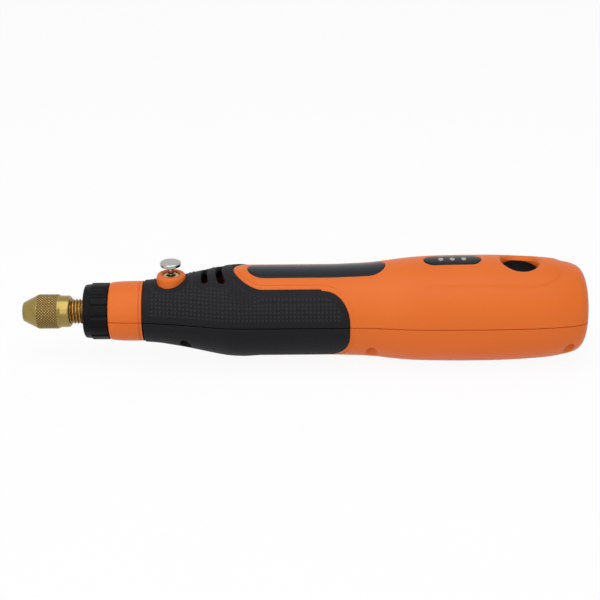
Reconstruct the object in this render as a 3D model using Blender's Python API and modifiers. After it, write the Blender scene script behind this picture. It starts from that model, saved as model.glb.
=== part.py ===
"""Cordless electric engraving pen, modelled as an assembly of separate pieces.

Lengths are in metres. The pen lies along X with its nose at -X, its top at +Z and the lowest
flat of its belly at z = 0. Positions along the pen are worked out as distances from the nose.
"""

from math import ceil, cos, pi, radians, sin, tau

import bmesh
import bpy
from mathutils import Matrix, Vector
import numpy as np

for item in list(bpy.data.objects):
    bpy.data.objects.remove(item, do_unlink=True)

# General sizes
FIT = 0.0003
SEAM_GAP = 0.0003
OVERRUN = 0.0010
MERGE = 0.00001
CYLINDER_EDGE = 0.0006
BODY_STEPS = 28
ROUND_STEPS = 20
PIN_STEPS = 12
HOLE_STEPS = 8

# Casing
REAR_SPACE = 0.0105
BODY_RADIUS = 0.0169
WALL = 0.0020
REST_FLAT_DEPTH = 0.0004
COLLAR_LENGTH = 0.0097
COLLAR_GROOVE_WIDTH = 0.0010
COLLAR_GROOVE_DEPTH = 0.0006
NECK_LENGTH = 0.0061
NECK_RADIUS = 0.0072
NECK_BORE = 0.0050
RIB_WIDTH = 0.0012
BATTERY_RIB_COUNT = 3

# Stations of the casing: share of the body length, share of the body radius
BODY_SHARES = (
    (0.0, 0.531), (0.004, 0.541), (0.018, 0.562), (0.040, 0.568), (0.065, 0.571), (0.097, 0.589),
    (0.122, 0.623), (0.159, 0.682), (0.197, 0.757), (0.222, 0.804), (0.247, 0.846), (0.272, 0.861),
    (0.297, 0.864), (0.460, 0.865), (0.498, 0.874), (0.535, 0.888), (0.560, 0.907), (0.585, 0.937),
    (0.610, 0.961), (0.635, 0.979), (0.6725, 0.991), (0.738, 1.0), (0.783, 1.0), (0.836, 0.988),
    (0.883, 0.965), (0.924, 0.932), (0.948, 0.890), (0.960, 0.865), (0.9705, 0.837), (0.978, 0.805),
    (0.985, 0.743), (0.9895, 0.663), (0.995, 0.509), (0.998, 0.331), (1.0, 0.0),
)

# Soft grips
GRIP_LENGTH = 0.0655
GRIP_DEPTH = 0.0011
GRIP_PROUD = 0.0003
GRIP_WALL = 0.0015
TONGUE_HALF_WIDTH = 0.0095
TONGUE_START = 0.0287
TONGUE_TIP_LENGTH = 0.0094
GRIP_TOP_CORNER_LENGTH = 0.0089
GRIP_TOP_CORNER_HEIGHT = 0.0107
BELLY_HALF_WIDTH = 0.0086
GRIP_LOW_CORNER_LENGTH = 0.0079
GRIP_LOW_CORNER_HEIGHT = 0.0095
GRIP_LOW_CORNER_START = 0.0022
CORNER_POINTS = 7

# Nose ring
NOSE_RING_LENGTH = 0.0079
NOSE_RING_RADIUS = 0.0087
NOSE_RING_MOUTH = 0.0060
NOSE_RING_FRONT_WALL = 0.0015
NOSE_RING_CHAMFER = 0.0007
NOSE_RIB_COUNT = 16
NOSE_RIB_HEIGHT = 0.0005
NOSE_RIB_SETBACK = 0.0026

# Ribs of the nose ring: share of the rib pitch, share of the rib height
NOSE_RIB_SHARES = ((-0.40, 0.0), (-0.30, 1.0), (0.30, 1.0), (0.40, 0.0))

# Chuck
THREAD_SHOWN = 0.0046
THREAD_RADIUS = 0.00405
THREAD_DEPTH = 0.00060
THREAD_PITCH = 0.0010
THREAD_LENGTH = 0.0066
THREAD_STEPS = 10

# Ridge of the thread: share of the pitch, share of the thread's depth
THREAD_SHARES = ((-0.42, 0.0), (-0.10, 1.0), (0.10, 1.0), (0.42, 0.0))

# Nut and collet
NUT_LENGTH = 0.0154
NUT_RADIUS = 0.00554
NUT_FACE_RADIUS = 0.00295
NUT_CONE_LENGTH = 0.0055
NUT_GRIP_LENGTH = 0.0062
NUT_REAR_RADIUS = 0.0051
NUT_REAR_CHAMFER = 0.0004
NUT_STEP_LENGTH = 0.0010
NUT_MOUTH_RADIUS = 0.0020
NUT_MOUTH_LENGTH = 0.0009
NUT_TAPER_LENGTH = 0.0030
COLLET_RADIUS = 0.0024
COLLET_BORE = 0.0015
COLLET_SETBACK = 0.0012
COLLET_LENGTH = 0.0158
COLLET_SLOT_WIDTH = 0.0005
COLLET_SLOT_LENGTH = 0.0110
COLLET_TIP_RADIUS = 0.0019

# Spindle and its bearings
SPINDLE_START = 0.0080
SPINDLE_BORE_LENGTH = 0.0098
SPINDLE_PLAIN_RADIUS = 0.0037
SPINDLE_FLANGE_RADIUS = 0.0042
SPINDLE_FLANGE_WIDTH = 0.0012
SPINDLE_TAIL_LENGTH = 0.0052
FRONT_BEARING_SETBACK = 0.0016
FRONT_BEARING_WIDTH = 0.0050
FRONT_BEARING_BORE = 0.0030
FRONT_BEARING_RADIUS = 0.0065
REAR_BEARING_WIDTH = 0.0050
REAR_BEARING_BORE = 0.0025
REAR_BEARING_RADIUS = 0.0055
BEARING_RING_SHARE = 0.20
BALL_COUNT = 6
BALL_STEPS = 6
BALL_RINGS = 4
CAGE_WIDTH = 0.0010
CAGE_WALL = 0.0005
BEARING_LIP = 0.0007
SLEEVE_WALL = 0.0009
LOCK_COLLAR_RADIUS = 0.0046
LOCK_COLLAR_LENGTH = 0.0046
LOCK_COLLAR_HUB_RADIUS = 0.0033
LOCK_COLLAR_HUB_LENGTH = 0.0008
LOCK_HOLE_RADIUS = 0.00125

# Spindle lock
LOCK_SETBACK = 0.0202
BOSS_RADIUS = 0.00464
BOSS_TOP = 0.0127
BOSS_DRAFT = 0.0002
BOSS_ROUND = 0.0006
BOSS_ROOT = 0.0080
LOCK_TUBE_RADIUS = 0.0030
LOCK_TUBE_FLOOR = 0.0006
LOCK_BORE_RADIUS = 0.00215
LOCK_RECESS_RADIUS = 0.00305
BUSH_RADIUS = 0.00255
BUSH_TOP_SINK = 0.0005
BUSH_THICKNESS = 0.0013
PIN_RADIUS = 0.000925
PIN_COLLAR_RADIUS = 0.00175
PIN_COLLAR_THICKNESS = 0.0006
PIN_HEAD_RADIUS = 0.0033
PIN_HEAD_TOP = 0.0168
PIN_HEAD_HEIGHT = 0.0013
LOCK_TRAVEL = 0.0018
SPRING_RADIUS = 0.00145
SPRING_WIRE = 0.00017
SPRING_TURNS = 4
SPRING_POINTS = 8

# Head of the lock pin: share of its radius, share of its height
PIN_HEAD_SHARES = ((0.5, 0.08), (0.85, 0.27), (1.0, 0.5), (1.0, 0.7), (0.9, 0.9))

# Vents
VENT_WIDTH = 0.0021
VENT_FIRST_SETBACK = 0.0194
VENT_PITCH = 0.0047
VENT_LENGTH = 0.0112
VENT_BEND = 0.0015
VENT_SHARES = ((1, 0.4), (1.27, 1))
VENT_SIDE_SHARES = (0.5, 0.0, -0.5)

# Motor
COUPLING_RADIUS = 0.0042
COUPLING_LENGTH = 0.0085
COUPLING_GAP = 0.0015
MOTOR_SHAFT_RADIUS = 0.0010
MOTOR_GAP = 0.0020
MOTOR_RADIUS = 0.0102
MOTOR_CAN_LENGTH = 0.0250
MOTOR_CAN_WALL = 0.0008
MOTOR_BOSS_RADIUS = 0.0030
MOTOR_BOSS_LENGTH = 0.0014
MOTOR_BUSH_WALL = 0.0006
MOTOR_BUSH_LENGTH = 0.0024
END_CAP_LENGTH = 0.0032
END_CAP_SPIGOT = 0.0015
END_CAP_WALL = 0.0017
END_CAP_TAIL_LENGTH = 0.0015
MAGNET_THICKNESS = 0.0015
MAGNET_LENGTH = 0.0175
MAGNET_SETBACK = 0.0025
MAGNET_EDGE_HEIGHT = 0.0048
ARMATURE_GAP = 0.0004
CORE_SETBACK = 0.0050
CORE_LENGTH = 0.0130
CORE_HUB_RADIUS = 0.0030
CORE_NECK_HALF_WIDTH = 0.0016
CORE_TIP_THICKNESS = 0.0011
CORE_TIP_ANGLE = 38
CORE_TIP_SHARES = (-1, -0.5, 0, 0.5, 1)
POLE_COUNT = 3
COIL_WALL = 0.0010
COIL_HEIGHT = 0.0012
COMMUTATOR_RADIUS = 0.0026
COMMUTATOR_LENGTH = 0.0033
COMMUTATOR_RISER_RADIUS = 0.0033
COMMUTATOR_RISER_LENGTH = 0.0007
BRUSH_WIDTH = 0.0020
BRUSH_REACH = 0.0022
BRUSH_ARM_THICKNESS = 0.0004
BRUSH_ARM_TAIL = 0.0030
MOTOR_RIB_SETBACK = 0.0020
MOTOR_STOP_RADIUS = 0.0070
MOTOR_REAR_STOP_RADIUS = 0.0085

# Battery and board
BATTERY_RADIUS = 0.0092
BATTERY_LENGTH = 0.0650
BATTERY_DROP = 0.0026
BATTERY_NUB_RADIUS = 0.00275
BATTERY_NUB_HEIGHT = 0.0008
BATTERY_GAP = 0.0082
TAB_WIDTH = 0.0040
TAB_THICKNESS = 0.0003
TAB_OFFSET = 0.0050
TAB_RETURN = 0.0050
BOARD_HEIGHT = 0.0082
BOARD_THICKNESS = 0.0012
BOARD_WIDTH = 0.0160
BOARD_TAIL_WIDTH = 0.0100
BOARD_TAIL_LENGTH = 0.0060
BOARD_FRONT_REACH = 0.0070
BOARD_END_GAP = 0.0045
BOARD_SCREW_FRONT = 0.0030
BOARD_SCREW_REAR = 0.0070
BOARD_SCREW_RADIUS = 0.0007
BOARD_SCREW_HEAD_RADIUS = 0.0016
BOARD_SCREW_HEAD = 0.0009
BOARD_SCREW_GRIP = 0.0032
BOARD_POST_RADIUS = 0.0020
SOCKET_WIDTH = 0.0089
SOCKET_HEIGHT = 0.0032
SOCKET_LENGTH = 0.0074
SOCKET_WALL = 0.0004
SOCKET_TONGUE_HEIGHT = 0.0007
SOCKET_TONGUE_WIDTH = 0.0060
SOCKET_SETBACK = 0.0014
LEAD_RADIUS = 0.0005
LEAD_POINTS = 3
LEAD_FOOT = 0.0015
LEAD_RISE_GAP = 0.0020
LEAD_SWEEP = 0.0040
LEAD_RUN = 0.0030
LEAD_HEIGHT_SHARES = (0.12, 0.66, 0.95)
BATTERY_LEAD_SHARES = (0.23, 0.77)

# Label, charge window and lamps
LABEL_START = 0.0333
LABEL_LENGTH = 0.0438
LABEL_WIDTH = 0.0106
LABEL_THICKNESS = 0.0008
LABEL_SINK = 0.0001
WINDOW_LENGTH = 0.0184
WINDOW_WIDTH = 0.0075
WINDOW_THICKNESS = 0.0011
STADIUM_POINTS = 7
LAMP_COUNT = 3
LAMP_PITCH = 0.0037
LAMP_LENGTH = 0.0020
LAMP_WIDTH = 0.0012
LAMP_HEIGHT = 0.0008
GUIDE_RADIUS = 0.0008
GUIDE_BRIDGE_HEIGHT = 0.0010
GUIDE_BRIDGE_MARGIN = 0.0012
GUIDE_BRIDGE_WIDTH = 0.0024

# Power button
BUTTON_SETBACK = 0.0224
BUTTON_TO_WINDOW = 0.0215
BUTTON_RADIUS = 0.0055
BUTTON_TOP_SINK = 0.0024
BUTTON_DOME = 0.0002
BUTTON_CROWN_SHARE = 0.7
BUTTON_FLANGE_RADIUS = 0.0064
BUTTON_FLANGE_THICKNESS = 0.0008
BUTTON_BOTTOM = 0.0118
BUTTON_DISH_RADIUS = 0.0064
BUTTON_DISH_SINK = 0.0015
BUTTON_GUIDE_WALL = 0.0018
SWITCH_SIZE = 0.0060
SWITCH_HEIGHT = 0.0015
SWITCH_HOLE_RADIUS = 0.0019
SWITCH_HOLE_DEPTH = 0.0010
PLUNGER_HEIGHT = 0.0006

# Casing screws: distances from the ends of the grips and of the body, and from the middle plane
CASE_SCREW_FRONT_SETBACK = 0.0133
CASE_SCREW_MIDDLE_SETBACK = 0.0071
CASE_SCREW_REAR_SETBACK = 0.0071
CASE_SCREW_FRONT_OFFSET = 0.0080
CASE_SCREW_OFFSET = 0.0112
CASE_SCREW_RADIUS = 0.0009
CASE_SCREW_HEAD_RADIUS = 0.0016
CASE_SCREW_HEAD = 0.0012
CASE_SCREW_RECESS_RADIUS = 0.0018
CASE_SCREW_SEAT_SHARE = 0.35
CASE_SCREW_GRIP = 0.0035
POST_RADIUS = 0.0024
POST_WALL = 0.0010

# Places along the pen, from the nose
nose_x = NUT_LENGTH + THREAD_SHOWN
ring_end = nose_x + NOSE_RING_LENGTH
body_start = ring_end + FIT
neck_start = body_start - NECK_LENGTH
collar_end = body_start + COLLAR_LENGTH
grip_start = collar_end + COLLAR_GROOVE_WIDTH + FIT
grip_end = grip_start + GRIP_LENGTH
grip_inset = GRIP_DEPTH + FIT + GRIP_WALL
lock_x = body_start + LOCK_SETBACK - FIT
bearing_x = body_start + FRONT_BEARING_SETBACK
bearing_end = bearing_x + FRONT_BEARING_WIDTH
collar_x = lock_x - LOCK_COLLAR_LENGTH / 2
hub_end = collar_x + LOCK_COLLAR_LENGTH + LOCK_COLLAR_HUB_LENGTH
rear_bearing_x = hub_end + FIT
rear_bearing_end = rear_bearing_x + REAR_BEARING_WIDTH
coupling_x = rear_bearing_end + COUPLING_GAP
coupling_end = coupling_x + COUPLING_LENGTH
spindle_end = rear_bearing_end + SPINDLE_TAIL_LENGTH
motor_x = coupling_end + MOTOR_GAP
can_end = motor_x + MOTOR_CAN_LENGTH
cap_x = can_end + FIT
cap_end = cap_x + END_CAP_LENGTH
battery_x = cap_end + BATTERY_GAP
battery_end = battery_x + BATTERY_NUB_HEIGHT + BATTERY_LENGTH
body_end = battery_end + REAR_SPACE
body_length = body_end - body_start
board_end = body_end - BOARD_END_GAP
cavity_end = body_end - WALL
board_top = BOARD_HEIGHT + BOARD_THICKNESS
button_x = body_end - BUTTON_SETBACK
window_x = button_x - BUTTON_TO_WINDOW
board_x = window_x - WINDOW_LENGTH / 2 - BOARD_FRONT_REACH
half_seam = SEAM_GAP / 2
reach = BODY_RADIUS + OVERRUN
overall_length = body_end

# Collections, the frame that carries the pen, and materials
parts = bpy.data.collections.new("engraving_pen")
guides = bpy.data.collections.new("cutters")
bpy.context.scene.collection.children.link(parts)
bpy.context.scene.collection.children.link(guides)

frame = bpy.data.objects.new("pen_axis", None)
frame.location = (-overall_length / 2, 0, BODY_RADIUS - REST_FLAT_DEPTH)
parts.objects.link(frame)


def linear(code):
    """A linear RGBA colour from an sRGB hex code."""
    channels = [int(code[i : i + 2], 16) / 255 for i in (0, 2, 4)]
    return [c / 12.92 if c <= 0.04045 else ((c + 0.055) / 1.055) ** 2.4 for c in channels] + [1]


def make_material(name, code, roughness, metallic=0.0):
    material = bpy.data.materials.new(name)
    material.use_nodes = True
    shader = material.node_tree.nodes["Principled BSDF"]
    shader.inputs["Base Color"].default_value = linear(code)
    shader.inputs["Roughness"].default_value = roughness
    shader.inputs["Metallic"].default_value = metallic
    material.diffuse_color = linear(code)
    return material


ORANGE = make_material("orange_abs", "EC7A3A", 0.45)
GRIP = make_material("black_grip_rubber", "26262A", 0.70)
BLACK = make_material("black_abs", "1C1C1F", 0.45)
WINDOW = make_material("smoked_window", "15171A", 0.15)
BRASS = make_material("brass", "C9A24E", 0.30, 1.0)
STEEL = make_material("bright_steel", "B9BCC0", 0.25, 1.0)
CHROME = make_material("chrome", "D9DCE0", 0.12, 1.0)
ZINC = make_material("zinc_steel", "9EA3A8", 0.40, 1.0)
NICKEL = make_material("nickel_strip", "C4C2BA", 0.30, 1.0)
BRONZE = make_material("sintered_bronze", "A8743C", 0.45, 1.0)
COPPER = make_material("copper_wire", "B8662F", 0.35, 1.0)
IRON = make_material("laminated_iron", "5B5E63", 0.50, 1.0)
FERRITE = make_material("ferrite", "3A3B3E", 0.80)
BOARD = make_material("green_board", "1F6B3A", 0.40)
WRAP = make_material("cell_wrap", "2F6FB5", 0.35)
CLEAR = make_material("clear_polycarbonate", "E8EEF2", 0.10)
LAMP = make_material("lamp_resin", "F2F0E2", 0.30)
RED = make_material("red_insulation", "B3261E", 0.45)
DARK = make_material("black_insulation", "1A1A1A", 0.45)


def place(name, mesh, material=None, origin=(0, 0, 0)):
    """An object on the pen's frame: a part where it has a material, otherwise a cutter or guide."""
    item = bpy.data.objects.new(name, mesh)
    item.parent = frame
    item.location = origin
    if material:
        mesh.materials.append(material)
        parts.objects.link(item)
        return item
    item.hide_render = True
    item.display_type = "WIRE"
    guides.objects.link(item)
    return item


def finish_mesh(name, bm, smooth=False):
    mesh = bpy.data.meshes.new(name)
    for face in bm.faces:
        face.smooth = smooth
    bmesh.ops.recalc_face_normals(bm, faces=bm.faces)
    bm.to_mesh(mesh)
    bm.free()
    return mesh


def turned(name, profile, material=None, axis="X", steps=ROUND_STEPS, closed=True, origin=(0, 0, 0)):
    """A turned piece. Its profile runs along the outer side away from the nose, or down from the top,
    and back along the bore; an open profile starts and ends on the axis."""
    if axis == "X":
        points = [(along, 0, radius) for along, radius in reversed(profile)]
    else:
        points = [(radius, 0, along) for radius, along in profile]
    edges = [(i, i + 1) for i in range(len(points) - 1)]
    if closed:
        edges.append((len(points) - 1, 0))
    mesh = bpy.data.meshes.new(name)
    mesh.from_pydata(points, edges, [])
    item = place(name, mesh, material, origin)
    screw = item.modifiers.new("turn", "SCREW")
    screw.axis = axis
    screw.steps = steps
    screw.render_steps = steps
    screw.use_merge_vertices = True
    screw.merge_threshold = MERGE
    screw.use_smooth_shade = True
    return item


def block(name, low, high, material=None):
    """A box between two corners."""
    low, high = Vector(low), Vector(high)
    bm = bmesh.new()
    size = Matrix.Diagonal((*(high - low), 1))
    bmesh.ops.create_cube(bm, size=1, matrix=Matrix.Translation((low + high) / 2) @ size)
    return place(name, finish_mesh(name, bm), material)


def rods(name, places, material=None, steps=HOLE_STEPS):
    """Upright cylinders in one object, each given as x, y, radius, bottom and top."""
    bm = bmesh.new()
    for x, y, radius, bottom, top in places:
        middle = Matrix.Translation((x, y, (bottom + top) / 2))
        bmesh.ops.create_cone(bm, cap_ends=True, segments=steps, radius1=radius, radius2=radius,
                              depth=top - bottom, matrix=middle)
    return place(name, finish_mesh(name, bm, smooth=True), material)


def prism(name, outlines, plane, low, high, material=None, origin=(0, 0, 0)):
    """Flat outlines made solid between two heights. In plane XZ they run along Y, in XY along Z and
    in YZ along X."""
    curve = bpy.data.curves.new(name, "CURVE")
    curve.dimensions = "2D"
    curve.fill_mode = "BOTH"
    curve.extrude = (high - low) / 2
    for outline in outlines:
        line = curve.splines.new("POLY")
        line.points.add(len(outline) - 1)
        line.points.foreach_set("co", [v for a, b in outline for v in (a, b, 0, 1)])
        line.use_cyclic_u = True
    flat = bpy.data.objects.new(name, curve)
    guides.objects.link(flat)
    shape = flat.evaluated_get(bpy.context.evaluated_depsgraph_get())
    mesh = bpy.data.meshes.new_from_object(shape)
    bpy.data.objects.remove(flat)
    bpy.data.curves.remove(curve)
    turns = {
        "XY": Matrix.Identity(4),
        "XZ": Matrix.Rotation(pi / 2, 4, "X"),
        "YZ": Matrix(((0, 0, 1, 0), (1, 0, 0, 0), (0, 1, 0, 0), (0, 0, 0, 1))),
    }
    bm = bmesh.new()
    bm.from_mesh(mesh)
    bpy.data.meshes.remove(mesh)
    bmesh.ops.remove_doubles(bm, verts=bm.verts, dist=MERGE)
    bmesh.ops.translate(bm, verts=bm.verts, vec=(0, 0, (high + low) / 2))
    bmesh.ops.transform(bm, matrix=turns[plane], verts=bm.verts)
    return place(name, finish_mesh(name, bm), material, origin)


def tube(name, points, radius, material, resolution=1):
    """A wire or coil along a list of points."""
    curve = bpy.data.curves.new(name, "CURVE")
    curve.dimensions = "3D"
    curve.bevel_depth = radius
    curve.bevel_resolution = resolution
    curve.use_fill_caps = True
    line = curve.splines.new("POLY")
    line.points.add(len(points) - 1)
    line.points.foreach_set("co", [v for point in points for v in (*point, 1)])
    return place(name, curve, material)


def combine(item, other, operation):
    """A Boolean step: the other object is taken away, joined on or kept in common."""
    modifier = item.modifiers.new(other.name, "BOOLEAN")
    modifier.operation = operation
    modifier.object = other
    return item


def merged(name, items):
    """Cutters that don't touch each other, made one guide, so that they act in a single step."""
    depsgraph = bpy.context.evaluated_depsgraph_get()
    bm = bmesh.new()
    for item in items:
        mesh = bpy.data.meshes.new_from_object(item.evaluated_get(depsgraph))
        mesh.transform(item.matrix_basis)
        bm.from_mesh(mesh)
        bpy.data.meshes.remove(mesh)
    return place(name, finish_mesh(name, bm))


def cut(item, *others):
    for other in others:
        combine(item, other, "DIFFERENCE")
    return item


def join(item, *others):
    for other in others:
        combine(item, other, "UNION")
    return item


def keep(item, *others):
    for other in others:
        combine(item, other, "INTERSECT")
    return item


def body_radius(x):
    """Outer radius of the orange casing at a distance from the nose."""
    stations = np.array(BODY_SHARES)
    share = (x - body_start) / body_length
    return float(np.interp(share, stations[:, 0], stations[:, 1])) * BODY_RADIUS


def cavity_radius(x):
    """Inner radius of the casing, which has a thicker step under the soft grips."""
    inset = np.interp(x, (grip_end + FIT, grip_end + 2 * WALL), (grip_inset, WALL))
    return body_radius(x) - float(inset)


def stations_between(first, last):
    """Distances of the body's stations that lie between two places, with both places."""
    inner = [body_start + share * body_length for share, _ in BODY_SHARES]
    return [first] + [x for x in inner if first + FIT < x < last - FIT] + [last]


def band(name, first, last, inner, outer, material=None):
    """A round skin that follows the casing between two distances from its surface."""
    xs = stations_between(first, last)
    out = [(x, body_radius(x) + outer) for x in xs]
    back = [(x, body_radius(x) + inner) for x in reversed(xs)]
    return turned(name, out + back, material, steps=BODY_STEPS)


def quarter(centre, reach_a, reach_b, count=CORNER_POINTS):
    """Points of a quarter ellipse, from straight above its centre to straight beside it."""
    angles = [pi / 2 * (1 - i / count) for i in range(count + 1)]
    return [(centre[0] + reach_a * cos(a), centre[1] + reach_b * sin(a)) for a in angles]


def circle(radius, count):
    """Points of a circle about the axis."""
    return [(radius * cos(tau * i / count), radius * sin(tau * i / count)) for i in range(count)]


def stadium(centre, length, width):
    """A slot outline with round ends, along the pen."""
    radius = width / 2
    straight = length / 2 - radius
    points = []
    for side in (1, -1):
        for i in range(STADIUM_POINTS):
            angle = side * (pi / 2) - pi * i / (STADIUM_POINTS - 1)
            points.append((centre + side * straight + radius * cos(angle), radius * sin(angle)))
    return points


def vent_outline(centre, length, bend):
    """Plan of a vent slot across the pen, with round ends that are set back by the bend."""
    half = length / 2
    radius = VENT_WIDTH / 2
    ends = stadium(0, length, VENT_WIDTH)
    front_side = [((half - radius) * share, -radius) for share in VENT_SIDE_SHARES]
    back_side = [((radius - half) * share, radius) for share in VENT_SIDE_SHARES]
    slot = ends[:STADIUM_POINTS] + front_side + ends[STADIUM_POINTS:] + back_side
    return [(centre + across + bend * (along / half) ** 2, along) for along, across in slot]


def tongue_outline(half_width, grow):
    """Plan of the orange tongue or belly strip: a half ellipse at the tip, then straight sides."""
    width = half_width + grow
    full = grip_start + TONGUE_START + TONGUE_TIP_LENGTH
    tip = TONGUE_TIP_LENGTH + grow
    end = grip_end + 2 * OVERRUN
    count = 2 * CORNER_POINTS
    angles = [pi / 2 + pi * i / count for i in range(count + 1)]
    return [(full + tip * cos(a), width * sin(a)) for a in angles] + [(end, -width), (end, width)]


def grip_outline(side, grow):
    """Side view of a soft grip, upper (1) or lower (-1): straight in front, rounded at the rear."""
    front = grip_start - grow
    rear = grip_end + grow
    if side > 0:
        length, height, start = GRIP_TOP_CORNER_LENGTH, GRIP_TOP_CORNER_HEIGHT, half_seam
    else:
        length, height, start = GRIP_LOW_CORNER_LENGTH, GRIP_LOW_CORNER_HEIGHT, GRIP_LOW_CORNER_START
    corner = quarter((rear - length - grow, side * start), length + grow, side * (height + grow))
    root = half_seam if not grow else -half_seam
    top = [(front, side * root), (front, side * reach), (corner[0][0], side * reach)]
    return top + corner + [(rear, side * root)]


# Both casing halves start from one turned shell with its ribs and bearing seats
cavity = []


def rib(first, last, radius):
    """An inward rib of the cavity, with the cavity's own radius before and after it."""
    cavity.extend([(first, cavity_radius(first)), (first, radius)])
    cavity.extend([(last, radius), (last, cavity_radius(last))])


seat_front = FRONT_BEARING_RADIUS + FIT
seat_rear = REAR_BEARING_RADIUS + FIT
cavity.extend([
    (neck_start, NECK_BORE), (bearing_x - FIT, NECK_BORE), (bearing_x - FIT, seat_front),
    (bearing_end + FIT, seat_front), (bearing_end + FIT, seat_front - 2 * FIT - BEARING_LIP),
    (bearing_end + FIT + RIB_WIDTH, seat_front - 2 * FIT - BEARING_LIP),
    (bearing_end + FIT + RIB_WIDTH, cavity_radius(bearing_end)),
])
cavity.extend([
    (rear_bearing_x - FIT - BEARING_LIP, cavity_radius(rear_bearing_x)),
    (rear_bearing_x - FIT - BEARING_LIP, seat_rear - BEARING_LIP - FIT / 2),
    (rear_bearing_end + FIT + BEARING_LIP, seat_rear - BEARING_LIP - FIT / 2),
    (rear_bearing_end + FIT + BEARING_LIP, cavity_radius(rear_bearing_end)),
])
rib(motor_x - FIT - RIB_WIDTH, motor_x - FIT, MOTOR_STOP_RADIUS)
rib(motor_x + MOTOR_RIB_SETBACK, motor_x + MOTOR_RIB_SETBACK + RIB_WIDTH, MOTOR_RADIUS + FIT)
rib(can_end - MOTOR_RIB_SETBACK - RIB_WIDTH, can_end - MOTOR_RIB_SETBACK, MOTOR_RADIUS + FIT)
rib(cap_end + FIT, cap_end + FIT + RIB_WIDTH, MOTOR_REAR_STOP_RADIUS)
rear_xs = stations_between(max(grip_end, cap_end + FIT + RIB_WIDTH) + FIT, cavity_end)
cavity.extend([(x, cavity_radius(x)) for x in rear_xs[::2] + rear_xs[-1:]])
cavity.append((cavity_end, 0))

skin = [(neck_start, NECK_RADIUS), (body_start, NECK_RADIUS)]
skin.extend([(x, body_radius(x)) for x in stations_between(body_start, collar_end)])
groove_floor = body_radius(collar_end) - COLLAR_GROOVE_DEPTH
skin.extend([(collar_end, groove_floor), (collar_end + COLLAR_GROOVE_WIDTH, groove_floor)])
skin.extend([(x, body_radius(x)) for x in stations_between(collar_end + COLLAR_GROOVE_WIDTH, body_end)])
casing_profile = list(reversed(cavity)) + skin

# Inside of the casing wall, which trims the posts and ribs that grow from it
trim_xs = stations_between(body_start + FIT, cavity_end)
trim_form = turned(
    "wall_middle",
    [(trim_xs[0], 0)] + [(x, cavity_radius(x) + GRIP_WALL / 2) for x in trim_xs] + [(trim_xs[-1], 0)],
    steps=BODY_STEPS, closed=False,
)

upper_shell = turned("upper_shell", casing_profile, ORANGE, steps=BODY_STEPS, closed=False)
lower_shell = turned("lower_shell", casing_profile, ORANGE, steps=BODY_STEPS, closed=False)
long_low = (neck_start - OVERRUN, -reach, -reach)
long_high = (body_end + OVERRUN, reach, reach)
cut(upper_shell, block("below_seam", long_low, (long_high[0], reach, half_seam)))
cut(lower_shell, block("above_seam", (long_low[0], -reach, -half_seam), long_high))

# Soft grips, their pockets and the strips of casing left between them
boss_clearance = turned(
    "boss_clearance",
    [(0, reach), (BOSS_RADIUS + FIT, reach), (BOSS_RADIUS + FIT, half_seam), (0, half_seam)],
    axis="Z", closed=False, origin=(lock_x, 0, 0),
)
vent_slots = []
for index, (length_share, bend_share) in enumerate(VENT_SHARES):
    vent_x = grip_start + VENT_FIRST_SETBACK + index * VENT_PITCH
    slot = vent_outline(vent_x, length_share * VENT_LENGTH, bend_share * VENT_BEND)
    vent_slots.append(prism(f"vent_slot_{index + 1}", [slot], "XY", SPINDLE_FLANGE_RADIUS, reach))

grips = {}
pockets = {}
for side, half, half_width in ((1, "upper", TONGUE_HALF_WIDTH), (-1, "lower", BELLY_HALF_WIDTH)):
    low, high = (0, reach) if side > 0 else (-reach, 0)
    strip = prism(f"{half}_strip", [tongue_outline(half_width, 0)], "XY", low, high)
    strip_inner = prism(f"{half}_strip_inner", [tongue_outline(half_width, -FIT)], "XY", low, high)
    view = prism(f"{half}_grip_side", [grip_outline(side, 0)], "XZ", -reach, reach)
    view_outer = prism(f"{half}_grip_side_outer", [grip_outline(side, FIT)], "XZ", -reach, reach)
    grip = band(f"{half}_grip", grip_start, grip_end, -GRIP_DEPTH, GRIP_PROUD, GRIP)
    grips[half] = cut(keep(grip, view), strip)
    pocket_depth = -GRIP_DEPTH - FIT
    pocket = band(f"{half}_pocket", grip_start - OVERRUN, grip_end + OVERRUN, pocket_depth, OVERRUN)
    pockets[half] = cut(keep(pocket, view_outer), strip_inner)
cut(grips["upper"], merged("grip_holes", [boss_clearance, *vent_slots]))
cut(lower_shell, pockets["lower"])

# Posts for the casing screws
case_screws = []
for x, offset in (
    (grip_start + CASE_SCREW_FRONT_SETBACK, CASE_SCREW_FRONT_OFFSET),
    (grip_end + CASE_SCREW_MIDDLE_SETBACK, CASE_SCREW_OFFSET),
    (body_end - CASE_SCREW_REAR_SETBACK, CASE_SCREW_OFFSET),
):
    seat = -CASE_SCREW_SEAT_SHARE * body_radius(x)
    case_screws.extend([(x, offset, seat), (x, -offset, seat)])
post_top = CASE_SCREW_GRIP + FIT + POST_WALL
upper_posts = rods("upper_posts", [(x, y, POST_RADIUS, half_seam, post_top) for x, y, _ in case_screws])
lower_posts = rods("lower_posts", [(x, y, POST_RADIUS, -reach, -half_seam) for x, y, _ in case_screws])
pilot = CASE_SCREW_RADIUS + FIT
pilots = rods("screw_pilots", [(x, y, pilot, -OVERRUN, CASE_SCREW_GRIP + FIT) for x, y, _ in case_screws])
screw_holes = [
    turned(f"screw_hole_{index + 1}", [
        (0, OVERRUN), (pilot, OVERRUN), (pilot, z), (CASE_SCREW_RECESS_RADIUS, z),
        (CASE_SCREW_RECESS_RADIUS, -reach), (0, -reach),
    ], axis="Z", steps=HOLE_STEPS, closed=False, origin=(x, y, 0))
    for index, (x, y, z) in enumerate(case_screws)
]
recesses = rods(
    "screw_recesses",
    [(x, y, CASE_SCREW_RECESS_RADIUS, -reach, z / 2) for x, y, z in case_screws],
)
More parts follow.
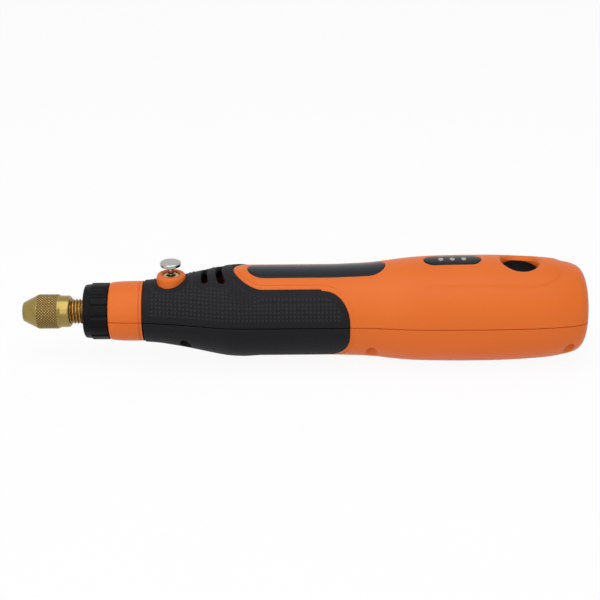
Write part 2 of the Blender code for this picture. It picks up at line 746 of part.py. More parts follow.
seat_bore = turned(
    "rear_bearing_seat",
    [(rear_bearing_x - FIT, 0), (rear_bearing_x - FIT, seat_rear), (rear_bearing_end + FIT, seat_rear),
     (rear_bearing_end + FIT, 0)],
    closed=False, steps=BODY_STEPS,
)

# Posts for the board, the button's guide ring and the lock boss with its spring tube
board_screws = [
    ("front", board_x + BOARD_SCREW_FRONT),
    ("rear", board_end - BOARD_SCREW_REAR),
]
post_foot = board_top + FIT
board_posts = rods("board_posts", [(x, 0, BOARD_POST_RADIUS, post_foot, reach) for _, x in board_screws])
board_pilot = BOARD_SCREW_RADIUS + FIT
board_screw_top = board_top + BOARD_SCREW_GRIP
board_pilots = rods(
    "board_pilots",
    [(x, 0, board_pilot, board_top - OVERRUN, board_screw_top + FIT) for _, x in board_screws],
)
flange_top = BUTTON_BOTTOM + BUTTON_FLANGE_THICKNESS
button_hole = BUTTON_RADIUS + FIT
guide_ring = turned(
    "button_guide",
    [(0, reach), (button_hole + BUTTON_GUIDE_WALL, reach),
     (button_hole + BUTTON_GUIDE_WALL, flange_top + FIT), (0, flange_top + FIT)],
    axis="Z", closed=False, origin=(button_x, 0, 0),
)
button_surface = body_radius(button_x)
button_cut = turned(
    "button_opening",
    [(0, reach), (BUTTON_DISH_RADIUS, reach), (BUTTON_DISH_RADIUS, button_surface - BUTTON_DISH_SINK),
     (button_hole, button_surface - BUTTON_DISH_SINK), (button_hole, BOARD_HEIGHT), (0, BOARD_HEIGHT)],
    axis="Z", closed=False, origin=(button_x, 0, 0),
)
lock_tube_foot = LOCK_COLLAR_RADIUS + FIT + FIT / 2
lock_floor = lock_tube_foot + LOCK_TUBE_FLOOR
bush_top = BOSS_TOP - BUSH_TOP_SINK
bush_foot = bush_top - BUSH_THICKNESS
lock_boss = turned(
    "lock_boss",
    [(0, BOSS_TOP), (BOSS_RADIUS - BOSS_DRAFT - BOSS_ROUND, BOSS_TOP),
     (BOSS_RADIUS - BOSS_DRAFT - BOSS_ROUND / 3, BOSS_TOP - BOSS_ROUND / 4),
     (BOSS_RADIUS - BOSS_DRAFT, BOSS_TOP - BOSS_ROUND), (BOSS_RADIUS, BOSS_ROOT),
     (LOCK_TUBE_RADIUS, BOSS_ROOT), (LOCK_TUBE_RADIUS, lock_tube_foot), (0, lock_tube_foot)],
    axis="Z", closed=False, origin=(lock_x, 0, 0),
)
lock_bore = turned(
    "lock_bore",
    [(0, reach), (LOCK_RECESS_RADIUS, reach), (LOCK_RECESS_RADIUS, bush_foot + BUSH_THICKNESS / 2),
     (BUSH_RADIUS + FIT, bush_foot + BUSH_THICKNESS / 2), (BUSH_RADIUS + FIT, bush_foot - FIT),
     (LOCK_BORE_RADIUS, bush_foot - FIT), (LOCK_BORE_RADIUS, lock_floor),
     (PIN_RADIUS + FIT, lock_floor), (PIN_RADIUS + FIT, SPINDLE_PLAIN_RADIUS), (0, SPINDLE_PLAIN_RADIUS)],
    axis="Z", steps=PIN_STEPS, closed=False, origin=(lock_x, 0, 0),
)

# Recesses of the label plate and the charge window, and the port of the charge socket
label_middle = grip_start + LABEL_START + LABEL_LENGTH / 2
label_first = label_middle - LABEL_LENGTH / 2
label_last = label_middle + LABEL_LENGTH / 2
window_first = window_x - WINDOW_LENGTH / 2
window_last = window_x + WINDOW_LENGTH / 2


def inlay(name, first, last, width, thickness, sink, material):
    """A thin plate let into the casing's top. Returns its recess, with a gap all round."""
    centre = (first + last) / 2
    length = last - first
    plan = prism(f"{name}_plan", [stadium(centre, length, width)], "XY", 0, reach)
    wide = stadium(centre, length + 2 * FIT, width + 2 * FIT)
    wide_plan = prism(f"{name}_recess_plan", [wide], "XY", 0, reach)
    plate = band(name, first - OVERRUN, last + OVERRUN, -thickness, -sink, material)
    depth = -thickness - FIT
    recess = band(f"{name}_recess", first - 2 * OVERRUN, last + 2 * OVERRUN, depth, OVERRUN)
    keep(plate, plan)
    return keep(recess, wide_plan)


label_recess = inlay("label_plate", label_first, label_last, LABEL_WIDTH, LABEL_THICKNESS,
                     LABEL_SINK, BLACK)
window_recess = inlay("led_window", window_first, window_last, WINDOW_WIDTH, WINDOW_THICKNESS,
                      LABEL_SINK, WINDOW)
cut(upper_shell, merged("top_recesses", [pockets["upper"], label_recess, window_recess]))
lamp_xs = [window_x + (index - (LAMP_COUNT - 1) / 2) * LAMP_PITCH for index in range(LAMP_COUNT)]
guide_holes = rods(
    "light_guide_holes", [(x, 0, GUIDE_RADIUS + FIT, board_top, reach - 2 * OVERRUN) for x in lamp_xs])

socket_end = body_end - SOCKET_SETBACK
socket_x = socket_end - SOCKET_LENGTH
socket_top = BOARD_HEIGHT - FIT
socket_foot = socket_top - SOCKET_HEIGHT


def flat_oval(width, height, grow=0):
    """Outline of the charge socket: a rectangle with fully rounded ends, about its middle."""
    middle = (socket_top + socket_foot) / 2
    oval = stadium(0, width + 2 * grow, height + 2 * grow)
    return [(a, b + middle) for a, b in oval]


port = prism("charge_port", [flat_oval(SOCKET_WIDTH, SOCKET_HEIGHT, FIT)], "YZ",
             cavity_end - OVERRUN, body_end + OVERRUN)

keep(upper_posts, trim_form)
keep(board_posts, trim_form)
keep(guide_ring, trim_form)
join(upper_shell, merged("upper_bosses", [upper_posts, board_posts, guide_ring, lock_boss]))
openings = [seat_bore, pilots, board_pilots, guide_holes, lock_bore, port, *vent_slots, button_cut]
cut(upper_shell, merged("upper_openings", openings))

# Cradle ribs and stops of the battery, in the lower half
battery_space = turned(
    "battery_space",
    [(battery_x - FIT, 0), (battery_x - FIT, BATTERY_RADIUS + FIT),
     (battery_end + FIT, BATTERY_RADIUS + FIT), (battery_end + FIT, 0)],
    steps=ROUND_STEPS, closed=False, origin=(0, 0, -BATTERY_DROP),
)
stop_front = battery_x - FIT - TAB_THICKNESS - FIT
stop_rear = battery_end + FIT + TAB_THICKNESS + FIT
rib_xs = [(stop_front - RIB_WIDTH, stop_front), (stop_rear, stop_rear + RIB_WIDTH)]
for index in range(BATTERY_RIB_COUNT):
    x = battery_x + BATTERY_LENGTH * (index + 1) / (BATTERY_RIB_COUNT + 1)
    rib_xs.append((x, x + RIB_WIDTH))
battery_ribs = []
for index, (first, last) in enumerate(rib_xs):
    plate = block(f"battery_rib_{index + 1}", (first, -reach, -reach), (last, reach, -BATTERY_DROP))
    battery_ribs.append(keep(plate, trim_form))

rest_flat = block("rest_flat", (body_start, -reach, -reach - OVERRUN),
                  (body_end, reach, -BODY_RADIUS + REST_FLAT_DEPTH))
keep(lower_posts, trim_form)
join(lower_shell, merged("lower_bosses", [lower_posts]), merged("cradle", battery_ribs))
cut(lower_shell, battery_space)
cut(lower_shell, merged("lower_openings", [seat_bore, rest_flat, *screw_holes]))
cut(grips["lower"], recesses)

# Chuck nut, collet and spindle
nut_cone_end = NUT_CONE_LENGTH
nut_grip_end = nut_cone_end + NUT_GRIP_LENGTH
nut_step_end = nut_grip_end + NUT_STEP_LENGTH
nut_bore = THREAD_RADIUS + FIT
taper_end = NUT_MOUTH_LENGTH + NUT_TAPER_LENGTH
chuck_nut = turned("chuck_nut", [
    (0, NUT_FACE_RADIUS), (NUT_REAR_CHAMFER, NUT_FACE_RADIUS + NUT_REAR_CHAMFER),
    (nut_cone_end, NUT_RADIUS), (nut_grip_end, NUT_RADIUS), (nut_step_end, NUT_REAR_RADIUS),
    (NUT_LENGTH - NUT_REAR_CHAMFER, NUT_REAR_RADIUS), (NUT_LENGTH, NUT_REAR_RADIUS - NUT_REAR_CHAMFER),
    (NUT_LENGTH, nut_bore), (taper_end + NUT_REAR_CHAMFER, nut_bore),
    (taper_end, COLLET_RADIUS + FIT), (NUT_MOUTH_LENGTH, NUT_MOUTH_RADIUS), (0, NUT_MOUTH_RADIUS),
], BRASS)

collet_end = COLLET_SETBACK + COLLET_LENGTH
collet = turned("collet", [
    (COLLET_SETBACK, NUT_MOUTH_RADIUS - FIT), (taper_end, COLLET_RADIUS - FIT / 2),
    (taper_end + NUT_REAR_CHAMFER, COLLET_RADIUS), (collet_end, COLLET_RADIUS),
    (collet_end, COLLET_BORE), (COLLET_SETBACK, COLLET_BORE),
], STEEL, steps=PIN_STEPS)
slot_start = COLLET_SETBACK - OVERRUN
slot_end = COLLET_SETBACK + COLLET_SLOT_LENGTH
slot_half = COLLET_SLOT_WIDTH / 2
cut(
    collet,
    block("collet_slot_upright", (slot_start, -slot_half, -NUT_RADIUS), (slot_end, slot_half, NUT_RADIUS)),
    block("collet_slot_flat", (slot_start, -NUT_RADIUS, -slot_half), (slot_end, NUT_RADIUS, slot_half)),
)

thread_end = nose_x + FIT + THREAD_PITCH
thread_core = THREAD_RADIUS - THREAD_DEPTH
spindle_bore_end = SPINDLE_START + SPINDLE_BORE_LENGTH
flange_x = bearing_x - FIT - SPINDLE_FLANGE_WIDTH
journal_front = FRONT_BEARING_BORE - FIT
journal_rear = REAR_BEARING_BORE - FIT
spindle = turned("spindle", [
    (spindle_bore_end, 0), (spindle_bore_end, COLLET_RADIUS + FIT), (SPINDLE_START, COLLET_RADIUS + FIT),
    (SPINDLE_START, thread_core), (thread_end, thread_core), (thread_end, SPINDLE_PLAIN_RADIUS),
    (flange_x, SPINDLE_PLAIN_RADIUS), (flange_x, SPINDLE_FLANGE_RADIUS),
    (flange_x + SPINDLE_FLANGE_WIDTH, SPINDLE_FLANGE_RADIUS),
    (flange_x + SPINDLE_FLANGE_WIDTH, journal_front), (bearing_end, journal_front),
    (bearing_end, journal_rear), (spindle_end, journal_rear), (spindle_end, 0),
], BRASS, steps=ROUND_STEPS, closed=False)


def helical_ridge(name, first, last):
    """The thread's ridge: a trapezoid swept round the X axis, one pitch for each turn."""
    turns = (last - first) / THREAD_PITCH
    count = ceil(turns * THREAD_STEPS)
    root = thread_core - FIT
    bm = bmesh.new()
    corners = [
        bm.verts.new((first + share * THREAD_PITCH, 0, root + height * (THREAD_RADIUS - root)))
        for share, height in THREAD_SHARES
    ]
    face = bm.faces.new(corners)
    bmesh.ops.spin(
        bm, geom=[face, *face.edges, *face.verts], axis=(1, 0, 0), cent=(0, 0, 0),
        dvec=((last - first) / count, 0, 0), angle=tau * turns, steps=count, use_duplicate=False,
    )
    return place(name, finish_mesh(name, bm))


ridge_start = thread_end - THREAD_LENGTH
join(spindle, helical_ridge("thread_ridge", ridge_start, thread_end - THREAD_PITCH / 2))


def bearing(prefix, x, width, bore, radius):
    """A ball bearing: inner ring, outer ring, and the balls held in their cage."""
    ring = (radius - bore) * BEARING_RING_SHARE
    race_low = bore + ring
    race_high = radius - ring
    inner = [(x, race_low), (x + width, race_low), (x + width, bore), (x, bore)]
    outer = [(x, radius), (x + width, radius), (x + width, race_high), (x, race_high)]
    turned(f"{prefix}_inner", inner, STEEL)
    turned(f"{prefix}_outer", outer, STEEL)
    middle = x + width / 2
    pitch_radius = (race_low + race_high) / 2
    ball = (race_high - race_low) / 2 - FIT
    low, high = middle - CAGE_WIDTH / 2, middle + CAGE_WIDTH / 2
    inside, outside = pitch_radius - CAGE_WALL / 2, pitch_radius + CAGE_WALL / 2
    section = [(low, outside), (high, outside), (high, inside), (low, inside)]
    cage = turned(f"{prefix}_balls", section, STEEL, steps=PIN_STEPS)
    bm = bmesh.new()
    for index in range(BALL_COUNT):
        angle = tau * index / BALL_COUNT
        spot = Matrix.Translation((middle, pitch_radius * sin(angle), pitch_radius * cos(angle)))
        bmesh.ops.create_uvsphere(
            bm, u_segments=BALL_STEPS, v_segments=BALL_RINGS, radius=ball, matrix=spot)
    join(cage, place(f"{prefix}_ball_set", finish_mesh(f"{prefix}_ball_set", bm, smooth=True)))


bearing("front_bearing", bearing_x, FRONT_BEARING_WIDTH, FRONT_BEARING_BORE, FRONT_BEARING_RADIUS)
bearing("rear_bearing", rear_bearing_x, REAR_BEARING_WIDTH, REAR_BEARING_BORE, REAR_BEARING_RADIUS)

sleeve_x = bearing_end + FIT
sleeve_end = collar_x - FIT
sleeve_top = REAR_BEARING_BORE + SLEEVE_WALL
turned("spacer_sleeve", [
    (sleeve_x, sleeve_top), (sleeve_end, sleeve_top), (sleeve_end, REAR_BEARING_BORE),
    (sleeve_x, REAR_BEARING_BORE),
], STEEL, steps=PIN_STEPS)

collar_x_end = collar_x + LOCK_COLLAR_LENGTH
lock_collar = turned("lock_collar", [
    (collar_x, LOCK_COLLAR_RADIUS), (collar_x_end, LOCK_COLLAR_RADIUS),
    (collar_x_end, LOCK_COLLAR_HUB_RADIUS), (hub_end, LOCK_COLLAR_HUB_RADIUS),
    (hub_end, REAR_BEARING_BORE), (collar_x, REAR_BEARING_BORE),
], ZINC)
for name, turn in (("upright", 0), ("across", pi / 2)):
    drill = turned(
        f"lock_drill_{name}",
        [(0, reach), (LOCK_HOLE_RADIUS, reach), (LOCK_HOLE_RADIUS, -reach), (0, -reach)],
        axis="Z", steps=HOLE_STEPS, closed=False, origin=(lock_x, 0, 0),
    )
    drill.rotation_euler = (turn, 0, 0)
    cut(lock_collar, drill)

shaft_start = spindle_end + 2 * FIT
shaft_hole = MOTOR_SHAFT_RADIUS + FIT
turned("shaft_coupling", [
    (coupling_x, COUPLING_RADIUS), (coupling_end, COUPLING_RADIUS), (coupling_end, shaft_hole),
    (spindle_end + FIT, shaft_hole), (spindle_end + FIT, REAR_BEARING_BORE),
    (coupling_x, REAR_BEARING_BORE),
], ZINC, steps=PIN_STEPS)

# Motor
can_inside = MOTOR_RADIUS - MOTOR_CAN_WALL
boss_front = motor_x - MOTOR_BOSS_LENGTH
bush_hole = shaft_hole + MOTOR_BUSH_WALL + FIT
turned("motor_can", [
    (boss_front, shaft_hole + FIT), (boss_front, MOTOR_BOSS_RADIUS), (motor_x, MOTOR_BOSS_RADIUS),
    (motor_x, MOTOR_RADIUS - CYLINDER_EDGE), (motor_x + CYLINDER_EDGE, MOTOR_RADIUS),
    (can_end, MOTOR_RADIUS), (can_end, can_inside), (motor_x + MOTOR_CAN_WALL, can_inside), (motor_x + MOTOR_CAN_WALL, bush_hole),
    (boss_front + MOTOR_CAN_WALL, bush_hole), (boss_front + MOTOR_CAN_WALL, shaft_hole + FIT),
], ZINC)
bush_x = boss_front + MOTOR_CAN_WALL + FIT
tail_end = cap_end + END_CAP_TAIL_LENGTH
rear_bush_end = tail_end - MOTOR_CAN_WALL - FIT
for bush_name, first in (("front", bush_x), ("rear", rear_bush_end - MOTOR_BUSH_LENGTH)):
    last = first + MOTOR_BUSH_LENGTH
    outer = shaft_hole + MOTOR_BUSH_WALL
    section = [(first, outer), (last, outer), (last, shaft_hole), (first, shaft_hole)]
    turned(f"motor_bush_{bush_name}", section, BRONZE, steps=PIN_STEPS)

spigot_x = cap_x - END_CAP_SPIGOT
spigot_radius = can_inside - FIT
cap_floor = cap_end - END_CAP_WALL
end_cap = turned("motor_end_cap", [
    (spigot_x, spigot_radius), (cap_x, spigot_radius), (cap_x, MOTOR_RADIUS),
    (cap_end - CYLINDER_EDGE, MOTOR_RADIUS), (cap_end, MOTOR_RADIUS - CYLINDER_EDGE),
    (cap_end, MOTOR_BOSS_RADIUS), (tail_end, MOTOR_BOSS_RADIUS), (tail_end, shaft_hole + FIT),
    (tail_end - MOTOR_CAN_WALL, shaft_hole + FIT), (tail_end - MOTOR_CAN_WALL, bush_hole),
    (cap_floor, bush_hole), (cap_floor, spigot_radius - MOTOR_CAN_WALL),
    (spigot_x, spigot_radius - MOTOR_CAN_WALL),
], BLACK)

turned("motor_shaft", [
    (shaft_start, 0), (shaft_start, MOTOR_SHAFT_RADIUS), (tail_end - FIT, MOTOR_SHAFT_RADIUS),
    (tail_end - FIT, 0),
], STEEL, steps=PIN_STEPS, closed=False)

magnet_x = motor_x + MAGNET_SETBACK
magnet_end = magnet_x + MAGNET_LENGTH
magnet_outside = can_inside - FIT
magnet_inside = magnet_outside - MAGNET_THICKNESS
for magnet_name, low, high in (
    ("top", MAGNET_EDGE_HEIGHT, reach), ("bottom", -reach, -MAGNET_EDGE_HEIGHT),
):
    magnet = turned(f"motor_magnet_{magnet_name}", [
        (magnet_x, magnet_outside), (magnet_end, magnet_outside), (magnet_end, magnet_inside),
        (magnet_x, magnet_inside),
    ], FERRITE)
    keep(magnet, block(f"magnet_arc_{magnet_name}", (magnet_x - OVERRUN, -reach, low),
                       (magnet_end + OVERRUN, reach, high)))

core_x = motor_x + CORE_SETBACK
core_end = core_x + CORE_LENGTH
core_radius = magnet_inside - ARMATURE_GAP
tip_inner = core_radius - CORE_TIP_THICKNESS
core_outline = []
for index in range(POLE_COUNT):
    middle = tau * index / POLE_COUNT
    half = radians(CORE_TIP_ANGLE)
    neck_low = CORE_NECK_HALF_WIDTH / CORE_HUB_RADIUS
    neck_high = CORE_NECK_HALF_WIDTH / tip_inner
    pole = [(-neck_low, CORE_HUB_RADIUS), (-neck_high, tip_inner), (-half, tip_inner)]
    pole.extend([(half * share, core_radius) for share in CORE_TIP_SHARES])
    pole.extend([(half, tip_inner), (neck_high, tip_inner), (neck_low, CORE_HUB_RADIUS)])
    core_outline.extend([(radius * sin(middle + a), radius * cos(middle + a)) for a, radius in pole])
core_outlines = [core_outline, circle(shaft_hole, PIN_STEPS)]
prism("armature_core", core_outlines, "YZ", core_x, core_end, IRON)

coil_inside = CORE_NECK_HALF_WIDTH + FIT
coil_foot = CORE_HUB_RADIUS + FIT + FIT
coil_top = coil_foot + COIL_HEIGHT
for index in range(POLE_COUNT):
    name = f"armature_coil_{index + 1}"
    coil = block(name, (core_x - FIT - COIL_WALL, -coil_inside - COIL_WALL, coil_foot),
                 (core_end + FIT + COIL_WALL, coil_inside + COIL_WALL, coil_top), COPPER)
    window = block(f"{name}_window", (core_x - FIT, -coil_inside, 0), (core_end + FIT, coil_inside, reach))
    coil.rotation_euler = (-tau * index / POLE_COUNT, 0, 0)
    window.rotation_euler = (-tau * index / POLE_COUNT, 0, 0)
    cut(coil, window)

commutator_x = core_end + FIT + COIL_WALL + FIT
commutator_end = commutator_x + COMMUTATOR_LENGTH
riser_end = commutator_x + COMMUTATOR_RISER_LENGTH
turned("commutator", [
    (commutator_x, COMMUTATOR_RISER_RADIUS), (riser_end, COMMUTATOR_RISER_RADIUS),
    (riser_end, COMMUTATOR_RADIUS), (commutator_end, COMMUTATOR_RADIUS),
    (commutator_end, shaft_hole), (commutator_x, shaft_hole),
], COPPER, steps=PIN_STEPS)

brush_x = riser_end + FIT
brush_end = brush_x + BRUSH_WIDTH
brush_half = BRUSH_WIDTH / 2
brush_foot = COMMUTATOR_RADIUS + FIT
arm_foot = brush_foot + BRUSH_REACH - FIT
arm_top = arm_foot + BRUSH_ARM_THICKNESS
arm_end = cap_end + BRUSH_ARM_TAIL
for side, name in ((1, "left"), (-1, "right")):
    arm_low, arm_high = sorted((side * arm_foot, side * arm_top))
    brush_low, brush_high = sorted((side * brush_foot, side * (arm_foot + BRUSH_ARM_THICKNESS / 2)))
    brush = block(f"motor_brush_{name}", (brush_x - FIT, arm_low, -brush_half),
                  (arm_end, arm_high, brush_half), BRONZE)
    join(brush, block(f"brush_contact_{name}", (brush_x, brush_low, -brush_half + FIT),
                      (brush_end, brush_high, brush_half - FIT)))
    cut(end_cap, block(f"brush_slot_{name}", (spigot_x - OVERRUN, arm_low - FIT, -brush_half - FIT),
                       (cap_end + OVERRUN, arm_high + FIT, brush_half + FIT)))

# Battery, its tabs and the leads
nub_end = battery_x + BATTERY_NUB_HEIGHT
turned("battery_cell", [
    (battery_x, 0), (battery_x, BATTERY_NUB_RADIUS), (nub_end, BATTERY_NUB_RADIUS),
    (nub_end, BATTERY_RADIUS - CYLINDER_EDGE), (nub_end + CYLINDER_EDGE, BATTERY_RADIUS),
    (battery_end - CYLINDER_EDGE, BATTERY_RADIUS), (battery_end, BATTERY_RADIUS - CYLINDER_EDGE),
    (battery_end, 0),
], WRAP, steps=ROUND_STEPS, closed=False, origin=(0, 0, -BATTERY_DROP))

tab_top = BOARD_HEIGHT - FIT
tab_low = -BATTERY_DROP - TAB_WIDTH / 2
tab_half = TAB_WIDTH / 2
front_tab_x = battery_x - FIT
block("battery_tab_front", (front_tab_x - TAB_THICKNESS, -tab_half, tab_low),
      (front_tab_x, tab_half, tab_top), NICKEL)
rear_tab_x = battery_end + FIT
rear_tab = block("battery_tab_rear", (rear_tab_x, -TAB_OFFSET - tab_half, tab_low),
                 (rear_tab_x + TAB_THICKNESS, -TAB_OFFSET + tab_half, tab_top), NICKEL)
tab_return = block(
    "battery_tab_return",
    (rear_tab_x - TAB_RETURN, -TAB_OFFSET - tab_half, tab_top - TAB_THICKNESS),
    (rear_tab_x + TAB_THICKNESS / 2, -TAB_OFFSET + tab_half, tab_top - TAB_THICKNESS / 4),
)
join(rear_tab, tab_return)

lead_height = (BOARD_HEIGHT + board_top) / 2
lead_end = board_x - FIT


def smooth_route(points, count):
    """Points of a Catmull-Rom curve through the route's own points."""
    route = [Vector(p) for p in (points[0], *points, points[-1])]
    curve = []
    for a, b, c, d in zip(route, route[1:], route[2:], route[3:]):
        for i in range(count):
            t = i / count
            straight = (c - a) * t
            bend = (2 * a - 5 * b + 4 * c - d) * t**2
            turn = (3 * b - a - 3 * c + d) * t**3
            curve.append((2 * b + straight + bend + turn) / 2)
    return curve + [route[-1]]


lead_rise = battery_x - LEAD_RISE_GAP
low_share, middle_share, high_share = LEAD_HEIGHT_SHARES
for side, name, colour in ((1, "motor_lead_red", RED), (-1, "motor_lead_black", DARK)):
    start = Vector((arm_end + FIT, side * (arm_foot + BRUSH_ARM_THICKNESS / 2), 0))
    end = Vector((lead_end, side * BOARD_WIDTH / 4, lead_height))
    route = [
        start,
        start + Vector((LEAD_FOOT, 0, lead_height * low_share)),
        Vector((lead_rise, start.y, lead_height * middle_share)),
        Vector((lead_rise + LEAD_SWEEP, start.y, lead_height * high_share)),
        end - Vector((LEAD_RUN, 0, 0)),
        end,
    ]
    tube(name, smooth_route(route, LEAD_POINTS), LEAD_RADIUS, colour)
tab_lead_height = tab_top - LEAD_RADIUS
battery_lead_run = lead_end - front_tab_x
first_share, last_share = BATTERY_LEAD_SHARES
tube("battery_lead", smooth_route([
    Vector((front_tab_x + FIT + LEAD_RADIUS / 2, 0, tab_lead_height)),
    Vector((front_tab_x + battery_lead_run * first_share, 0, tab_lead_height)),
    Vector((front_tab_x + battery_lead_run * last_share, 0, lead_height - LEAD_RADIUS / 2)),
    Vector((lead_end, 0, lead_height)),
], LEAD_POINTS), LEAD_RADIUS, RED)

# Board with its screws, charge lamps and light guide
board_low_y = BOARD_WIDTH / 2
board_tail_y = BOARD_TAIL_WIDTH / 2
tail_x = board_end - BOARD_TAIL_LENGTH
board_plan = [
    (board_x, -board_low_y), (tail_x, -board_low_y), (board_end, -board_tail_y),
    (board_end, board_tail_y), (tail_x, board_low_y), (board_x, board_low_y),
]
circuit_board = prism("circuit_board", [board_plan], "XY", BOARD_HEIGHT, board_top, BOARD)
cut(circuit_board, rods(
    "board_holes",
    [(x, 0, board_pilot, BOARD_HEIGHT - OVERRUN, board_top + OVERRUN) for _, x in board_screws],
))
for name, x in board_screws:
    head_top = BOARD_HEIGHT - FIT
    head_foot = head_top - BOARD_SCREW_HEAD
    turned(f"board_screw_{name}", [
        (0, board_screw_top), (BOARD_SCREW_RADIUS, board_screw_top - BOARD_SCREW_RADIUS),
        (BOARD_SCREW_RADIUS, head_top), (BOARD_SCREW_HEAD_RADIUS, head_top),
        (BOARD_SCREW_HEAD_RADIUS, head_foot + FIT), (BOARD_SCREW_HEAD_RADIUS - FIT, head_foot),
        (0, head_foot),
    ], ZINC, axis="Z", steps=HOLE_STEPS, closed=False, origin=(x, 0, 0))

lamp_foot = board_top + FIT
lamp_top = lamp_foot + LAMP_HEIGHT
for index, x in enumerate(lamp_xs):
    block(f"charge_lamp_{index + 1}", (x - LAMP_LENGTH / 2, -LAMP_WIDTH / 2, lamp_foot),
          (x + LAMP_LENGTH / 2, LAMP_WIDTH / 2, lamp_top), LAMP)
guide_foot = lamp_top + FIT
guide_top = body_radius(window_x) - WINDOW_THICKNESS - 2 * FIT
light_guide = block(
    "light_guide",
    (lamp_xs[0] - GUIDE_BRIDGE_MARGIN, -GUIDE_BRIDGE_WIDTH / 2, guide_foot),
    (lamp_xs[-1] + GUIDE_BRIDGE_MARGIN, GUIDE_BRIDGE_WIDTH / 2, guide_foot + GUIDE_BRIDGE_HEIGHT), CLEAR,
)
guide_middle = guide_foot + GUIDE_BRIDGE_HEIGHT / 2
prongs = [(x, 0, GUIDE_RADIUS, guide_middle, guide_top) for x in lamp_xs]
join(light_guide, rods("light_guide_prongs", prongs))

socket_outline = flat_oval(SOCKET_WIDTH, SOCKET_HEIGHT)
charge_socket = prism("charge_socket", [socket_outline], "YZ", socket_x, socket_end, NICKEL)
socket_hollow = prism(
    "socket_hollow",
    [flat_oval(SOCKET_WIDTH - 2 * SOCKET_WALL, SOCKET_HEIGHT - 2 * SOCKET_WALL)], "YZ",
    socket_x + 2 * SOCKET_WALL, socket_end + OVERRUN,
)
socket_middle = (socket_top + socket_foot) / 2
socket_tongue = block(
    "socket_tongue",
    (socket_x + SOCKET_WALL, -SOCKET_TONGUE_WIDTH / 2, socket_middle - SOCKET_TONGUE_HEIGHT / 2),
    (socket_end - 2 * SOCKET_WALL, SOCKET_TONGUE_WIDTH / 2, socket_middle + SOCKET_TONGUE_HEIGHT / 2),
)
join(cut(charge_socket, socket_hollow), socket_tongue)

# Power button with its switch
button_top = button_surface - BUTTON_TOP_SINK
turned("power_button", [
    (0, button_top), (BUTTON_RADIUS * BUTTON_CROWN_SHARE, button_top - BUTTON_DOME),
    (BUTTON_RADIUS - BUTTON_DOME, button_top - 2 * BUTTON_DOME),
    (BUTTON_RADIUS, button_top - 3 * BUTTON_DOME), (BUTTON_RADIUS, flange_top),
    (BUTTON_FLANGE_RADIUS, flange_top), (BUTTON_FLANGE_RADIUS, BUTTON_BOTTOM), (0, BUTTON_BOTTOM),
], BLACK, axis="Z", closed=False, origin=(button_x, 0, 0))
switch_foot = board_top + FIT
switch_top = switch_foot + SWITCH_HEIGHT
switch_half = SWITCH_SIZE / 2
tact_switch = block("tact_switch", (button_x - switch_half, -switch_half, switch_foot),
                    (button_x + switch_half, switch_half, switch_top), BLACK)
switch_hole = (button_x, 0, SWITCH_HOLE_RADIUS, switch_top - SWITCH_HOLE_DEPTH, reach)
cut(tact_switch, rods("switch_hole", [switch_hole]))
plunger_top = BUTTON_BOTTOM - FIT
plunger_radius = SWITCH_HOLE_RADIUS - FIT
turned("switch_plunger", [
    (0, plunger_top), (plunger_radius, plunger_top), (plunger_radius, plunger_top - PLUNGER_HEIGHT),
    (0, plunger_top - PLUNGER_HEIGHT),
], BLACK, axis="Z", steps=PIN_STEPS, closed=False, origin=(button_x, 0, 0))

# Nose ring, with broad ribs for the fingers
ring_bore = NECK_RADIUS + FIT
ring_back = neck_start - FIT
rim = NOSE_RING_CHAMFER
nose_ring = turned("nose_ring", [
    (nose_x, NOSE_RING_RADIUS - 2 * rim), (nose_x + rim / 3, NOSE_RING_RADIUS - rim),
    (nose_x + rim, NOSE_RING_RADIUS - rim / 3), (nose_x + 2 * rim, NOSE_RING_RADIUS),
    (ring_end, NOSE_RING_RADIUS), (ring_end, ring_bore), (ring_back, ring_bore),
    (ring_back, NOSE_RING_MOUTH), (nose_x, NOSE_RING_MOUTH),
], BLACK, steps=NOSE_RIB_COUNT)
rib_pitch = tau / NOSE_RIB_COUNT
rib_root = NOSE_RING_RADIUS - FIT
rib_outline = []
for index in range(NOSE_RIB_COUNT):
    for share, height in NOSE_RIB_SHARES:
        angle = rib_pitch * (index + share)
        radius = rib_root + (NOSE_RIB_HEIGHT + FIT) * height
        rib_outline.append((radius * cos(angle), radius * sin(angle)))
rib_bore = (ring_bore + NOSE_RING_RADIUS) / 2
rib_outlines = [rib_outline, circle(rib_bore, ROUND_STEPS)]
join(nose_ring, prism("nose_ribs", rib_outlines, "YZ", nose_x + NOSE_RIB_SETBACK, ring_end - FIT / 2))

# Spindle lock: pin, bush and spring
pin_foot = LOCK_COLLAR_RADIUS + FIT
pin_collar_top = bush_foot - FIT
pin_collar_foot = pin_collar_top - PIN_COLLAR_THICKNESS
head_foot = PIN_HEAD_TOP - PIN_HEAD_HEIGHT
pin_head = [
    (PIN_HEAD_RADIUS * across, PIN_HEAD_TOP - PIN_HEAD_HEIGHT * down)
    for across, down in PIN_HEAD_SHARES
]
turned("lock_pin", [
    (0, PIN_HEAD_TOP), *pin_head,
    (PIN_RADIUS, head_foot), (PIN_RADIUS, pin_collar_top), (PIN_COLLAR_RADIUS, pin_collar_top),
    (PIN_COLLAR_RADIUS, pin_collar_foot), (PIN_RADIUS, pin_collar_foot), (PIN_RADIUS, pin_foot + FIT),
    (PIN_RADIUS - FIT, pin_foot), (0, pin_foot),
], CHROME, axis="Z", steps=PIN_STEPS, closed=False, origin=(lock_x, 0, 0))
turned("lock_bush", [
    (BUSH_RADIUS, bush_top), (BUSH_RADIUS, bush_foot), (PIN_RADIUS + FIT, bush_foot),
    (PIN_RADIUS + FIT, bush_top),
], BRASS, axis="Z", origin=(lock_x, 0, 0))

